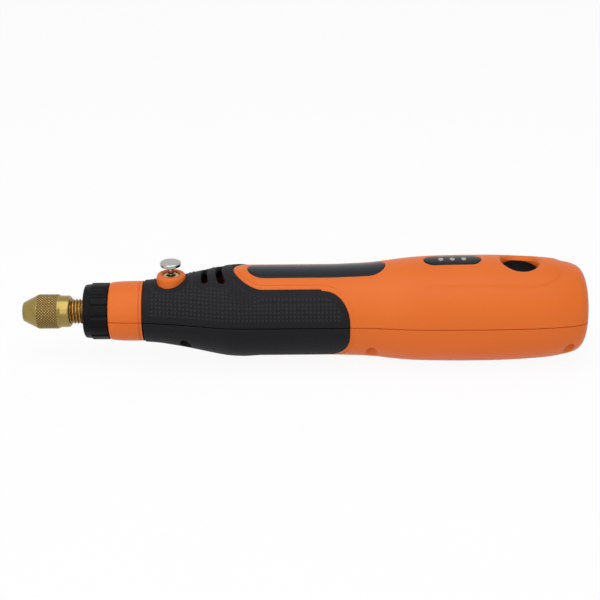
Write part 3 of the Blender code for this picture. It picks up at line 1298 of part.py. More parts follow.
spring_foot = lock_floor + FIT + SPRING_WIRE
spring_top = pin_collar_foot - FIT - SPRING_WIRE
spring_points = []
for index in range(SPRING_TURNS * SPRING_POINTS + 1):
    share = index / (SPRING_TURNS * SPRING_POINTS)
    angle = tau * SPRING_TURNS * share
    spring_points.append(Vector((
        lock_x + SPRING_RADIUS * cos(angle), SPRING_RADIUS * sin(angle),
        spring_foot + (spring_top - spring_foot) * share,
    )))
tube("lock_spring", spring_points, SPRING_WIRE, STEEL)
apart = [
    (spring_points[i] - spring_points[j]).length
    for i in range(len(spring_points)) for j in range(i + SPRING_POINTS // 2, len(spring_points))
]
print(f"least gap between the turns of the lock spring: {(min(apart) - 2 * SPRING_WIRE) * 1000:.2f} mm")

# Casing screws
for index, (x, y, seat) in enumerate(case_screws):
    head_top = seat - FIT
    head_foot = head_top - CASE_SCREW_HEAD
    turned(f"case_screw_{index + 1}", [
        (0, CASE_SCREW_GRIP), (CASE_SCREW_RADIUS, CASE_SCREW_GRIP - CASE_SCREW_RADIUS),
        (CASE_SCREW_RADIUS, head_top), (CASE_SCREW_HEAD_RADIUS, head_top),
        (CASE_SCREW_HEAD_RADIUS, head_foot + FIT), (CASE_SCREW_HEAD_RADIUS - 2 * FIT, head_foot),
        (0, head_foot),
    ], ZINC, axis="Z", steps=HOLE_STEPS, closed=False, origin=(x, y, 0))
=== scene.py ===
"""Studio view of a cordless engraving pen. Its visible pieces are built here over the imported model.

Sizes are in millimetres from the front of the chuck nut: x along the pen, y across it, z upwards.
"""

import bmesh
import bpy
from mathutils import Euler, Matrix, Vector
import numpy as np


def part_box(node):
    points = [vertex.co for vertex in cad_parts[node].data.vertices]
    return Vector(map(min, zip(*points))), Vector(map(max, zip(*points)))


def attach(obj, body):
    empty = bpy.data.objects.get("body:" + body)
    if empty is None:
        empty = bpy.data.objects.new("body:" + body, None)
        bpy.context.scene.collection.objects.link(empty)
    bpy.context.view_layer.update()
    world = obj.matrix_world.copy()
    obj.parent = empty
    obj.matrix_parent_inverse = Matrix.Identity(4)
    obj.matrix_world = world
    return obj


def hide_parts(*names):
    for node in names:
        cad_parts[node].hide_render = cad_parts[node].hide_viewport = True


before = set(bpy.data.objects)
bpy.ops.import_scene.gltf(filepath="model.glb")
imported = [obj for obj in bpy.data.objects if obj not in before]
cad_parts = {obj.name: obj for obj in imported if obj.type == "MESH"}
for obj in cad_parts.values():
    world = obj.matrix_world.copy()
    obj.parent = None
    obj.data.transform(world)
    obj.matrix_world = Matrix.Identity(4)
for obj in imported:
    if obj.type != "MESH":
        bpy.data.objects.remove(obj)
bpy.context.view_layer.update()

# Upper casing half
# A moulded ABS shell from the neck to the rounded rear end. It carries the tongue for the label and
# the boss of the spindle lock, and has a pocket for the soft grip, recesses, vents and the button's hole.

nut_low, nut_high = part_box("chuck_nut")
TIP = np.array([nut_low.x, 0.0, (nut_low.z + nut_high.z) / 2])

# Points of the outline, of the neck and then of the body: distance from the tip and radius
NECK = [(22.1, 5.0), (22.1, 7.2), (28.2, 7.2), (28.2, 9.05), (28.8, 9.28)]
STATIONS = np.array([
    (28.8, 9.28), (31.0, 9.54), (34.3, 9.64), (38.2, 9.66), (43.1, 9.95), (46.9, 10.53), (52.6, 11.53),
    (58.4, 12.79), (62.2, 13.59), (66.1, 14.30), (69.9, 14.55), (73.7, 14.60), (85.0, 14.61), (98.7, 14.62),
    (104.5, 14.77), (110.2, 15.01), (114.0, 15.33), (117.9, 15.84), (121.7, 16.24), (125.5, 16.55),
    (131.3, 16.75), (141.3, 16.90), (148.2, 16.90), (156.4, 16.70), (163.6, 16.31), (169.8, 15.75),
    (173.5, 15.04), (175.4, 14.62), (177.0, 14.15), (178.1, 13.60), (179.2, 12.56), (179.9, 11.20),
    (180.45, 8.60), (180.95, 5.60), (181.25, 0.0), (180.95, -5.60), (180.45, -8.60),
])
WALL = 2.9
SEAM = 0.1
SEAM_EDGE = 0.2
GROOVE, GROOVE_HALF, GROOVE_DEPTH = 38.1, 0.15, 0.35
COLLAR_END = 38.9
PAD_START, PAD_END = 39.2, 104.7
PAD_POCKET, PAD_GAP = 1.4, 0.12
BAND_START, BAND_WIDTH, BAND_DEPTH = 50, 1.3, 0.12
TONGUE_FULL, TONGUE_TAPER, TONGUE_HALF = 77.3, 9.4, 9.5
LOCK, BOSS_HOLE, BOSS_RADIUS = 48.1, 4.8, 4.72
# Each vent: middle, half length across the pen, and bend of its ends
VENTS = [(58.6, 5.6, 0.6), (63.3, 7.1, 1.5)]
VENT_IN_PAD, VENT_IN_CASING = 2.1, 2.4
LABEL, LABEL_STRAIGHT, LABEL_PIT, LABEL_DEPTH = 94.4, 16.5, 5.42, 1.0
WINDOW, WINDOW_STRAIGHT, WINDOW_PIT, WINDOW_DEPTH = 137.6, 5.62, 3.58, 1.35
BUTTON, BUTTON_HOLE = 159.1, 5.9
PANEL_REAR, PANEL_TAPER, PANEL_HALF, PANEL_RISE = 157.0, 15.2, 12.4, 0.3
SOCKET_STRAIGHT, SOCKET_HEIGHT, PORT_RADIUS, PORT_FLOOR = 2.85, 6.3, 1.9, 172.2


def linear(code):
    """Linear RGBA of an sRGB hex code: c / 12.92 when dark, otherwise ((c + 0.055) / 1.055) ** 2.4."""
    c = np.array([int(code[i:i + 2], 16) for i in (0, 2, 4)]) / 255
    return (*np.where(c <= 0.04045, c / 12.92, ((c + 0.055) / 1.055) ** 2.4), 1.0)


def step(tree, kind, inputs=None, **settings):
    """Adds one node, with its settings, and sets or links its inputs."""
    node = tree.nodes.new(kind)
    for name, value in settings.items():
        setattr(node, name, value)
    for socket, value in (inputs or {}).items():
        if isinstance(value, bpy.types.NodeSocket):
            tree.links.new(value, node.inputs[socket])
        else:
            node.inputs[socket].default_value = value
    return node


def made_of(name, first, second, roughness, metallic=0.0, ior=1.5, specular=0.5, mottle=10.0, grit=0.5,
            depth=0.01, stretch=(1, 1, 1), layer=None):
    """A material of two close tones, mixed by a slow mottling of a size in mm, or by a layer stored in
    the mesh. A finer grit, which may be stretched, shifts the gloss and stands up by a depth in mm."""
    material = bpy.data.materials.new(name)
    material.use_nodes = True
    tree = material.node_tree
    shader = tree.nodes["Principled BSDF"]
    shader.inputs["Metallic"].default_value = metallic
    shader.inputs["IOR"].default_value = ior
    shader.inputs["Specular IOR Level"].default_value = specular
    where = step(tree, "ShaderNodeTexCoord").outputs["Object"]
    if layer:
        tone = step(tree, "ShaderNodeAttribute", attribute_name=layer).outputs["Fac"]
    else:
        slow = step(tree, "ShaderNodeTexNoise", {"Vector": where, "Scale": 1000 / mottle, "Detail": 2.0})
        tone = step(tree, "ShaderNodeMapRange", {"Value": slow.outputs["Fac"], "From Min": 0.3,
                                                 "From Max": 0.7}).outputs["Result"]
    colour = step(tree, "ShaderNodeMix", {0: tone, 6: linear(first), 7: linear(second)}, data_type="RGBA")
    place = step(tree, "ShaderNodeMapping", {"Vector": where, "Scale": stretch})
    fine = step(tree, "ShaderNodeTexNoise", {"Vector": place.outputs["Vector"], "Scale": 1000 / grit,
                                             "Detail": 3.0}).outputs["Fac"]
    gloss = step(tree, "ShaderNodeMapRange", {"Value": fine, "From Min": 0.3, "From Max": 0.7,
                                              "To Min": roughness * 0.88, "To Max": roughness * 1.12})
    relief = step(tree, "ShaderNodeBump", {"Height": fine, "Distance": depth / 1000, "Strength": 1.0})
    tree.links.new(colour.outputs[2], shader.inputs["Base Color"])
    tree.links.new(gloss.outputs["Result"], shader.inputs["Roughness"])
    tree.links.new(relief.outputs["Normal"], shader.inputs["Normal"])
    return material


# Injection-moulded ABS with a fine spark-eroded grain: a satin, slightly uneven orange. The real
# grain of 0.1 mm is drawn at 0.5 mm so that it shows.
orange_abs = made_of("moulded_orange_abs", "DF6C27", "E2702B", 0.42, ior=1.53, specular=0.16, mottle=30,
                     grit=0.5, depth=0.012)
# Painted shade: a matt black on the walls of the vents, and on the wells and pocket at the front of the
# lower grip, where the orange casing lies in shade.
painted_shade_abs = made_of("painted_shade_black_abs", "0B0A0A", "0E0C0C", 0.6, ior=1.53, specular=0.1)


def piece(name, points, faces, materials, body, slot, nodes, crease=35, marks=None, layer=None):
    """A finished object from points in millimetres and arrays of faces. Doubles are merged, open rims
    closed with flat faces, and normals turned outwards."""
    mesh = bpy.data.meshes.new(name)
    corners = np.concatenate([np.asarray(f).ravel() for f in faces]).astype(np.int32)
    sizes = np.concatenate([np.full(len(f), f.shape[1]) for f in faces])
    mesh.vertices.add(len(points))
    mesh.vertices.foreach_set("co", (TIP + np.asarray(points) / 1000).ravel())
    mesh.loops.add(len(corners))
    mesh.loops.foreach_set("vertex_index", corners)
    mesh.polygons.add(len(sizes))
    mesh.polygons.foreach_set("loop_start", (np.cumsum(sizes) - sizes).astype(np.int32))
    if marks is not None:
        mesh.polygons.foreach_set("material_index", np.asarray(marks, dtype=np.int32))
    mesh.update(calc_edges=True)
    if layer is not None:
        mesh.attributes.new("depth", "FLOAT", "POINT").data.foreach_set("value", layer)
    form = bmesh.new()
    form.from_mesh(mesh)
    bmesh.ops.remove_doubles(form, verts=form.verts, dist=0.000002)
    rims = [edge for edge in form.edges if edge.is_boundary]
    if rims:
        bmesh.ops.holes_fill(form, edges=rims, sides=0)
    bmesh.ops.recalc_face_normals(form, faces=form.faces)
    form.to_mesh(mesh)
    form.free()
    mesh.shade_smooth()
    mesh.set_sharp_from_angle(angle=np.radians(crease))
    for material in materials:
        mesh.materials.append(material)
    item = bpy.data.objects.new(name, mesh)
    bpy.context.scene.collection.objects.link(item)
    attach(item, body)
    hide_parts(*nodes)
    return item


def together(*forms):
    """Several forms as one: their points one after another and their faces renumbered."""
    starts = np.cumsum([0] + [len(points) for points, _ in forms])
    return (np.concatenate([points for points, _ in forms]),
            [face + start for (_, faces), start in zip(forms, starts) for face in faces])


def grid_faces(rows, columns):
    """Quads between the neighbours of a grid whose points are stored row by row."""
    i, j = np.meshgrid(np.arange(rows - 1), np.arange(columns - 1), indexing="ij")
    first = (i * columns + j).ravel()
    return np.stack([first, first + columns, first + columns + 1, first + 1], -1)


def softened(corners, size, count=5, closed=False):
    """A path with its corners rounded. Each corner p becomes the curve (1-t)^2 a + 2t(1-t) p + t^2 c,
    where a and c lie on its two legs, at the size or at 0.45 of the leg, whichever is less."""
    p = np.array(corners, float)
    before, after = np.roll(p, 1, 0), np.roll(p, -1, 0)
    if not closed:
        before[0], after[-1] = p[0], p[-1]
    size = np.broadcast_to(np.asarray(size, float), len(p))[:, None]
    legs = [q - p for q in (before, after)]
    lengths = [np.linalg.norm(leg, axis=1, keepdims=True) for leg in legs]
    a, c = (p + leg * np.minimum(size, 0.45 * length) / np.maximum(length, 1e-9)
            for leg, length in zip(legs, lengths))
    t = np.linspace(0, 1, count)[None, :, None]
    curve = (1 - t) ** 2 * a[:, None] + 2 * t * (1 - t) * p[:, None] + t ** 2 * c[:, None]
    path = curve.reshape(-1, 2)
    return path[np.r_[True, np.linalg.norm(np.diff(path, axis=0), axis=1) > 1e-6]]


def through(knots, values, at):
    """Monotone cubic through the values. The slope at a knot is the harmonic mean of the slopes beside
    it, and zero where they differ in sign."""
    gap = np.diff(knots)
    rise = np.diff(values) / gap
    product, total = rise[1:] * rise[:-1], rise[1:] + rise[:-1]
    middle = np.where(product > 0, 2 * product / np.where(product > 0, total, 1), 0)
    slope = np.concatenate([rise[:1], middle, rise[-1:]])
    k = np.clip(np.searchsorted(knots, at, side="right") - 1, 0, len(gap) - 1)
    t = (at - knots[k]) / gap[k]
    start = (1 + 2 * t) * (1 - t) ** 2 * values[k] + t * (1 - t) ** 2 * gap[k] * slope[k]
    return start + t * t * (3 - 2 * t) * values[k + 1] + t * t * (t - 1) * gap[k] * slope[k + 1]


def smooth(t):
    """Rises from 0 to 1 as t does, as t^2 (3 - 2t)."""
    t = np.clip(t, 0, 1)
    return t * t * (3 - 2 * t)


def edge_drop(away, size):
    """How far a rounded edge lies below its face: size - sqrt(size^2 - (size - away)^2)."""
    left = np.clip(size - np.abs(away), 0, size)
    return size - np.sqrt(size ** 2 - left ** 2)


# The outline of the body: a smooth curve through its stations, averaged over about 2 mm of its
# length so that highlights run evenly, with the neck in front of it
knots = np.r_[0, np.cumsum(np.linalg.norm(np.diff(STATIONS, axis=0), axis=1))]
fine = np.arange(0, knots[-1], 0.1)
curve = np.stack([through(knots, STATIONS[:, i], fine) for i in (0, 1)], -1)
weights = np.exp(-np.linspace(-3, 3, 61) ** 2 / 2)
weights /= weights.sum()
led = np.concatenate([2 * curve[0] - curve[30:0:-1], curve])
curve = np.stack([np.convolve(led[:, i], weights, "valid") for i in (0, 1)], -1)
curve = curve[curve[:, 1] > SEAM]
curve = np.concatenate([curve, [(curve[-1, 0], SEAM)]])
outline = np.concatenate([softened(NECK, [0, 0.3, 0, 0.5, 0], 8)[:-1], curve])
outline = outline[np.r_[True, np.linalg.norm(np.diff(outline, axis=0), axis=1) > 1e-5]]
along = np.r_[0, np.cumsum(np.linalg.norm(np.diff(outline, axis=0), axis=1))]
slope = np.gradient(outline, along, axis=0)
body_at = len(outline) - len(curve)


def radius_at(x):
    """Radius of the body at a distance from the tip."""
    return np.interp(x, outline[body_at:, 0], outline[body_at:, 1])


def length_at(x):
    """Length along the outline at a distance from the tip."""
    return np.interp(x, outline[body_at:, 0], along[body_at:])


def surface(s, v, lift=0.0):
    """A point of half the casing: v runs from 0 at one seam to 1 at the other, and the point is lifted
    along the outline's normal (-dr, dx). Both ends of v stay on the seam's plane."""
    x, r = (np.interp(s, along, outline[:, i]) for i in (0, 1))
    dx, dr = (np.interp(s, along, slope[:, i]) for i in (0, 1))
    size = np.hypot(dx, dr)
    first = np.arcsin(np.minimum(SEAM / r, 1))
    turn = first + (np.pi - 2 * first) * v
    x, r = x - lift * dr / size, r + lift * dx / size
    z = np.where((v <= 0) | (v >= 1), SEAM, r * np.sin(turn))
    return x, r * np.cos(turn), z


def distance(field, s, v):
    """A field as a distance on the surface: its value over the length of its gradient there."""
    r = np.interp(s, along, outline[:, 1])
    down = np.gradient(field, axis=0) / np.gradient(s, axis=0)
    across = np.gradient(field, axis=1) / (np.gradient(v, axis=1) * np.pi * r)
    return field / np.maximum(np.hypot(down, across), 0.2)


def snapped(rows, columns, lines):
    """A grid whose points nearest to a line, where a field is zero, are moved onto it. On a grid edge
    with values f and g at its ends the line crosses at the share f / (f - g). Returns the grid's two
    coordinates and the points that lie on each line."""
    s, v = np.meshgrid(rows, columns, indexing="ij")
    rim = np.zeros(s.shape, bool)
    rim[:, [0, -1]] = True
    held = np.zeros(s.shape, bool)
    marks = []
    for line in lines:
        f = line(*surface(s, v))
        best = np.full(s.shape, np.inf)
        ds, dv = np.zeros(s.shape), np.zeros(s.shape)
        for axis, way in ((0, 1), (0, -1), (1, 1), (1, -1)):
            g, sn, vn, hn, rn = (np.roll(a, -way, axis) for a in (f, s, v, held, rim))
            share = f / np.where(f == g, 1, f - g)
            stuck, stuck_next = (held, hn) if axis == 0 else (held | rim, hn | rn)
            real = np.ones(s.shape, bool)
            real[tuple([slice(None)] * axis + [-1 if way == 1 else 0])] = False
            take = real & (f * g < 0) & ~stuck & ((share <= 0.5) | stuck_next) & (share < best)
            best = np.where(take, share, best)
            ds = np.where(take, share * (sn - s), ds)
            dv = np.where(take, share * (vn - v), dv)
        s, v = s + ds, v + dv
        marks.append(np.isfinite(best))
        held |= marks[-1]
    return s, v, marks


def split(shape, marks):
    """Two triangles for each cell, cut along the diagonal that has both its ends on one line."""
    index = np.arange(shape[0] * shape[1]).reshape(shape)
    a, b, c, d = index[:-1, :-1], index[1:, :-1], index[1:, 1:], index[:-1, 1:]
    across = np.zeros(a.shape, bool)
    for on in marks:
        across |= on[1:, :-1] & on[:-1, 1:] & ~(on[:-1, :-1] & on[1:, 1:])
    across = across[..., None]
    first = np.where(across, np.stack([a, b, d], -1), np.stack([a, b, c], -1))
    second = np.where(across, np.stack([b, c, d], -1), np.stack([a, c, d], -1))
    return np.concatenate([first.reshape(-1, 3), second.reshape(-1, 3)])


def borders(triangles, labels):
    """Edges between triangles with different labels: their points, and the label on either side, which
    is -1 beyond the grid."""
    pairs = np.sort(triangles[:, [[0, 1], [1, 2], [2, 0]]].reshape(-1, 2), axis=1)
    order = np.lexsort((pairs[:, 1], pairs[:, 0]))
    pairs, tags = pairs[order], np.repeat(labels, 3)[order]
    same = np.all(pairs[1:] == pairs[:-1], axis=1)
    first, second = np.r_[same, False], np.r_[False, same]
    other = np.where(first, np.roll(tags, -1), -1)
    keep = (first & (tags != other)) | (~first & ~second)
    return pairs[keep], tags[keep], other[keep]


def terraces(triangles, labels, size, gaps):
    """Faces of a surface that stands at another level in each region, with upright walls between the
    levels, and without the cells that are gaps. Point k of level n is number n size + k. Returns the
    triangles, the walls, and the higher label beside each wall."""
    edges, left, right = borders(triangles, labels)
    inner = right >= 0
    edges, left, right = edges[inner], left[inner], right[inner]
    walls = np.stack([left * size + edges[:, 0], left * size + edges[:, 1],
                      right * size + edges[:, 1], right * size + edges[:, 0]], -1)
    return (labels[:, None] * size + triangles)[~gaps], walls, np.maximum(left, right)


def oval(x, y, middle, straight, radius, side=0.0):
    """Distance from a slot outline along x with round ends."""
    return np.hypot(np.maximum(np.abs(x - middle) - straight, 0), y - side) - radius


def tongue(x, y, half):
    """Distance from the orange strip between the grips. Its tip is the curve u^1.8 + w^1.8 = 1, where u
    counts along the pen in tapers and w across it in halves of the strip's width."""
    u, w = np.maximum(TONGUE_FULL - x, 0) / TONGUE_TAPER, np.abs(y) / half
    size = np.maximum((u ** 1.8 + w ** 1.8) ** (1 / 1.8), 1e-6)
    return (size - 1) * size ** 0.8 / np.maximum(np.hypot(u ** 0.8 / TONGUE_TAPER, w ** 0.8 / half), 1e-6)


def corner(x, z, length, height, root):
    """Distance from the rounded rear end of a grip, seen from the side as a quarter of the curve
    u^2.4 + w^2.4 = 1."""
    u, w = np.maximum(x - (PAD_END - length), 0) / length, np.maximum(z - root, 0) / height
    size = np.maximum((u ** 2.4 + w ** 2.4) ** (1 / 2.4), 1e-6)
    off = (size - 1) * size ** 1.4 / np.maximum(np.hypot(u ** 1.4 / length, w ** 1.4 / height), 1e-6)
    return np.where(x > PAD_END - length, off, np.minimum(off, -3))


def upper_pad(x, y, z):
    """Negative on the upper grip: within its rear corner and outside the tongue."""
    return np.maximum(corner(x, z, 8.9, 10.7, 0), -tongue(x, y, TONGUE_HALF))


def boss(x, y, z):
    return np.hypot(x - LOCK, y) - BOSS_HOLE


def vents(x, y, z, width=VENT_IN_PAD):
    """Distance from two slots across the pen, whose ends are bent rearwards as the square of y."""
    off = []
    for at, half, bend in VENTS:
        beyond = np.maximum(np.abs(y) - half + VENT_IN_PAD / 2, 0)
        off.append(np.hypot(beyond, x - at - bend * (y / half) ** 2) - width / 2)
    return np.minimum(*off)


def grooved(x, y, z):
    return np.abs(x - GROOVE) - GROOVE_HALF


def in_front(field, start, clearance=0.0):
    """A field widened by a clearance, and limited to what lies behind a distance from the tip."""
    return lambda x, y, z: np.maximum(field(x, y, z) - clearance, start - x)


def banded(pad):
    """The low band of the casing beside a pad, behind the boss."""
    return lambda x, y, z: np.maximum(pad(x, y, z) - BAND_WIDTH, BAND_START - x)


def edge_soft(pad, s, v, x):
    """Drop of the casing's rounded edge beside a pad."""
    return edge_drop(np.maximum(distance(pad, s, v) - 0.1, 0), 0.25) * (x > BAND_START)


def groove_soft(x):
    """Drop of the rounded edge in front of the groove."""
    return edge_drop(x - GROOVE + GROOVE_HALF, 0.12) * (x < GROOVE)


def sunk(depth):
    """A level below the surface."""
    return lambda s, v, x, y, z: surface(s, v, -depth)


def half_casing(lines, regions, levels, open_at, below, under, skin):
    """One shell on a single grid. The outer side stands in terraces. The inner side is a plain wall
    that goes under the wells where the field below is less than 1 mm. The open cells are left out of
    both sides, and walls join their rims. Returns the form, and a tag for each face: its region on the
    outer side, or -1 inside. A wall of an open cell is tagged one above the last region.

    The inner wall lies at the height sqrt(r^2 - y^2). Its y is that of the outer side in the middle half
    of the width, and falls short by up to the wall's thickness towards the seam."""
    rows = np.unique(np.round(np.r_[
        along[:body_at + 1], length_at(np.array([GROOVE - GROOVE_HALF, GROOVE + GROOVE_HALF, COLLAR_END])),
        np.arange(length_at(29.2), along[-1] - 0.2, 0.47), along[-1],
    ], 4))
    rows = rows[np.r_[True, np.diff(rows) > 0.02]]
    near = np.array([0, 0.05, 0.11, 0.2, 0.34, 0.6]) / 52.9
    columns = np.r_[near, np.linspace(near[-1], 1 - near[-1], 106)[1:-1], (1 - near)[::-1]]
    s, v, marks = snapped(rows, columns, lines)
    x, y, z = surface(s, v)
    size = np.interp(s, along, outline[:, 1])
    seam = np.minimum(v, 1 - v) * np.pi * size
    top = surface(s, v, (skin(s, v, x, y, z) - edge_drop(seam, SEAM_EDGE)) * smooth(s / 0.5))

    # The inner wall's place and radius at lengths along the outline: neck, bearing seats, wall, rear
    seats = np.array([(29.6, 6.8), (34.9, 6.8), (35.1, 5.6), (38.4, 5.6), (38.6, 6.6)])
    xs = np.linspace(40, 174, 35)
    wall = np.concatenate([
        [(0, *NECK[0]), (along[body_at], 29.4, NECK[0][1])],
        np.stack([length_at(seats[:, 0]), *seats.T], -1),
        np.stack([length_at(xs), xs, radius_at(xs) - WALL], -1),
        [(length_at(178.0), 176.6, 10.2), (along[-1] - 7.5, 178.2, 7.0), (along[-1], 178.8, SEAM)],
    ])
    deep, within = (np.interp(s, wall[:, 0], wall[:, i]) for i in (1, 2))
    beside = np.abs(y) - (size - within) * np.clip(2 * np.abs(y) / size - 1, 0, 1)
    up = np.where((v <= 0) | (v >= 1), SEAM, np.sqrt(np.maximum(within ** 2 - beside ** 2, SEAM ** 2)))
    inside = (deep, np.sign(y) * beside, up)
    sheets = [top, *[level(s, v, x, y, z) for level in levels], inside, under(x, y, z)]

    triangles = split(s.shape, marks)
    middle = surface(s.ravel()[triangles].mean(1), v.ravel()[triangles].mean(1))
    outer = np.zeros(len(triangles), int)
    for index, region in enumerate(regions, 1):
        outer[region(*middle) < 0] = index
    gaps = open_at(*middle) < 0
    outer[gaps] = len(regions) + 1
    inner = np.where((below(*middle) < 1.0) & ~gaps, len(regions) + 2, len(regions) + 1)
    shown, walls, tags = terraces(triangles, outer, s.size, gaps)
    hidden, inner_walls, _ = terraces(triangles, inner, s.size, gaps)
    faces = [shown, hidden, walls, inner_walls]
    used, place = np.unique(np.concatenate([face.ravel() for face in faces]), return_inverse=True)
    points = np.stack([np.stack(sheet, -1) for sheet in sheets]).reshape(-1, 3)[used]
    parts = np.split(place, np.cumsum([face.size for face in faces])[:-1])
    tags = np.r_[outer[~gaps], np.full(len(hidden), -1), tags, np.full(len(inner_walls), -1)]
    return (points, [part.reshape(face.shape) for part, face in zip(parts, faces)]), tags


def lathe(profile, count=96, axis="x", centre=(0, 0), radius=None):
    """A turned form: each profile point (along, r) goes round as (r cos a, r sin a). A path that doesn't
    end on the axis is closed. A radius function of (along, a, r) may shape it."""
    path = np.array(profile, float)
    if path[0, 1] > 1e-6 or path[-1, 1] > 1e-6:
        path = np.concatenate([path, path[:1]])
    turn = np.linspace(0, 2 * np.pi, count + 1)
    run, r = (np.broadcast_to(path[:, i:i + 1], (len(path), count + 1)) for i in (0, 1))
    if radius:
        r = radius(run, turn, r)
    a, b = r * np.cos(turn), r * np.sin(turn)
    order = (run, a + centre[0], b + centre[1]) if axis == "x" else (a + centre[0], b + centre[1], run)
    return np.stack(order, -1).reshape(-1, 3), [grid_faces(len(path), count + 1)]


def upper_skin(s, v, x, y, z):
    """Height of the upper half's surface: a panel a little proud over the rear, whose edge is the curve
    u^2.6 + w^2.6 = 1, soft lips round the recesses, and a wide one as the button's dish."""
    side = np.abs(v - 0.5) * np.pi * np.interp(s, along, outline[:, 1])
    u, w = np.maximum(x - PANEL_REAR, 0) / PANEL_TAPER, side / PANEL_HALF
    away = ((u ** 2.6 + w ** 2.6) ** (1 / 2.6) - 1) * PANEL_HALF
    panel = PANEL_RISE * (1 - smooth(away / 0.7 + 0.5)) * smooth((x - 117) / 18)
    lip = sum(edge_drop(np.maximum(distance(pit(x, y, z), s, v), 0), size)
              for pit, size in ((label_pit, 0.28), (window_pit, 0.15), (button_hole, 1.6)))
    return panel - lip - edge_soft(upper_pad(x, y, z), s, v, x) - groove_soft(x)


def label_pit(x, y, z):
    return oval(x, y, LABEL, LABEL_STRAIGHT, LABEL_PIT)


def window_pit(x, y, z):
    return oval(x, y, WINDOW, WINDOW_STRAIGHT, WINDOW_PIT)


def button_hole(x, y, z):
    return np.hypot(x - BUTTON, y) - BUTTON_HOLE


def port(x, y, z):
    """The port of the charge socket, in the rear end only."""
    return np.maximum(oval(y, z, 0.0, SOCKET_STRAIGHT, PORT_RADIUS, SOCKET_HEIGHT), 170 - x)


def wide_vents(x, y, z):
    """The vents in the casing are a little wider than in the grip."""
    return vents(x, y, z, VENT_IN_CASING)


upper_form, tags = half_casing(
    [lambda x, y, z: upper_pad(x, y, z) - PAD_GAP, banded(upper_pad), wide_vents, label_pit, window_pit,
     button_hole, port],
    [banded(upper_pad), grooved, in_front(upper_pad, COLLAR_END, PAD_GAP), label_pit, window_pit, port],
    [
        lambda s, v, x, y, z: surface(s, v, -BAND_DEPTH - edge_soft(upper_pad(x, y, z), s, v, x)),
        sunk(GROOVE_DEPTH), sunk(PAD_POCKET), sunk(LABEL_DEPTH), sunk(WINDOW_DEPTH),
        lambda s, v, x, y, z: (np.full(x.shape, PORT_FLOOR), y, z),
    ],
    lambda x, y, z: np.minimum(wide_vents(x, y, z), button_hole(x, y, z)),
    port, lambda x, y, z: (np.full(x.shape, PORT_FLOOR - 1), y, z), upper_skin,
)
# The lock boss stands on the casing as a round post with a full, rounded rim
boss_path = softened(
    [(6.5, 0.0), (6.5, BOSS_RADIUS), (9.0, BOSS_RADIUS), (12.85, 4.66), (12.85, 2.65), (11.5, 2.65),
     (11.5, 0.0)],
    [0, 0, 0.5, 1.5, 0.4, 0, 0], 10,
)
points, faces = together(upper_form, lathe(boss_path, 96, "z", (LOCK, 0)))
place = np.concatenate([points[face].mean(1)[:, 0] for face in faces])
marks = np.zeros(len(place), int)
# The walls of the open cells have tag 7, and those in front of the label, the vents' walls, get the black
# of painted shade
marks[:len(tags)] = (tags == 7) & (place[:len(tags)] < LABEL - LABEL_STRAIGHT)
piece("casing_upper_half", points, faces, [orange_abs, painted_shade_abs], "housing", "orange_abs", ["upper_shell"],
      marks=marks)

# Lower casing half
# The other ABS shell, with a flat on its belly that the pen lies on, and six wells through which the
# casing screws draw the halves together.

BELLY = 16.5
SCREWS = [(52.5, 8.0), (111.8, 11.2), (174.4, 11.2)]
WELL_RADIUS = 1.8


def lower_pad(x, y, z):
    """Negative on the lower grip, whose rear corner starts beside the belly."""
    return np.maximum(corner(x, z, 7.9, 9.5, 2.2), -tongue(x, y, 8.6))


def wells(x, y, z):
    """Distance from the six round wells of the casing screws."""
    return np.minimum.reduce([np.hypot(x - at, np.abs(y) - side) for at, side in SCREWS]) - WELL_RADIUS


def lower_skin(s, v, x, y, z):
    """Height of the lower half's surface: soft lips round the wells and beside the pad."""
    lips = edge_drop(np.maximum(wells(x, y, z), 0), 0.25) * (x > PAD_END)
    return -lips - edge_soft(lower_pad(x, y, z), s, v, x) - groove_soft(x)


def seat(x):
    """Depth of the seats of the screws under the parting plane."""
    return 0.35 * radius_at(x)


(points, faces), tags = half_casing(
    [lambda x, y, z: lower_pad(x, y, z) - PAD_GAP, banded(lower_pad), wells],
    [banded(lower_pad), grooved, in_front(lower_pad, COLLAR_END, PAD_GAP), wells],
    [
        lambda s, v, x, y, z: surface(s, v, -BAND_DEPTH - edge_soft(lower_pad(x, y, z), s, v, x)),
        sunk(GROOVE_DEPTH), sunk(PAD_POCKET),
        lambda s, v, x, y, z: (x, y, seat(x)),
    ],
    lambda x, y, z: np.ones(x.shape), wells, lambda x, y, z: (x, y, seat(x) - 1.0), lower_skin,
)
place = np.concatenate([points[face].mean(1)[:, 0] for face in faces])
# Tags 3 and 4 are the pocket of the grip and the wells; in front of 60 mm they get the black of painted
# shade
marks = ((tags >= 3) & (place < 60)).astype(int)
points = points * (1, 1, -1)
points[:, 2] = np.maximum(points[:, 2], -BELLY)
piece("casing_lower_half", points, faces, [orange_abs, painted_shade_abs], "housing", "orange_abs", ["lower_shell"],
      marks=marks)

# Soft grips
# Two pads of black thermoplastic rubber, moulded over the casing halves. They stand a little proud and
# have rounded edges. The upper one has a faint pattern of small raised squares under the fingers.

SQUARE, SQUARE_RISE = 1.25, 0.2
PAD_RISE, PAD_DEPTH, PAD_EDGE = 0.3, 1.25, 0.5

# Rubber with a matt face: near black with a soft, wide highlight, and a painted highlight that makes the
# tops of the squares a little greyer. Its 0.1 mm grain is drawn at 0.4 mm so that it shows.
grip_rubber = made_of("moulded_black_rubber", "19191C", "29282C", 0.6, specular=0.13, grit=0.4, depth=0.02,
                      layer="depth")


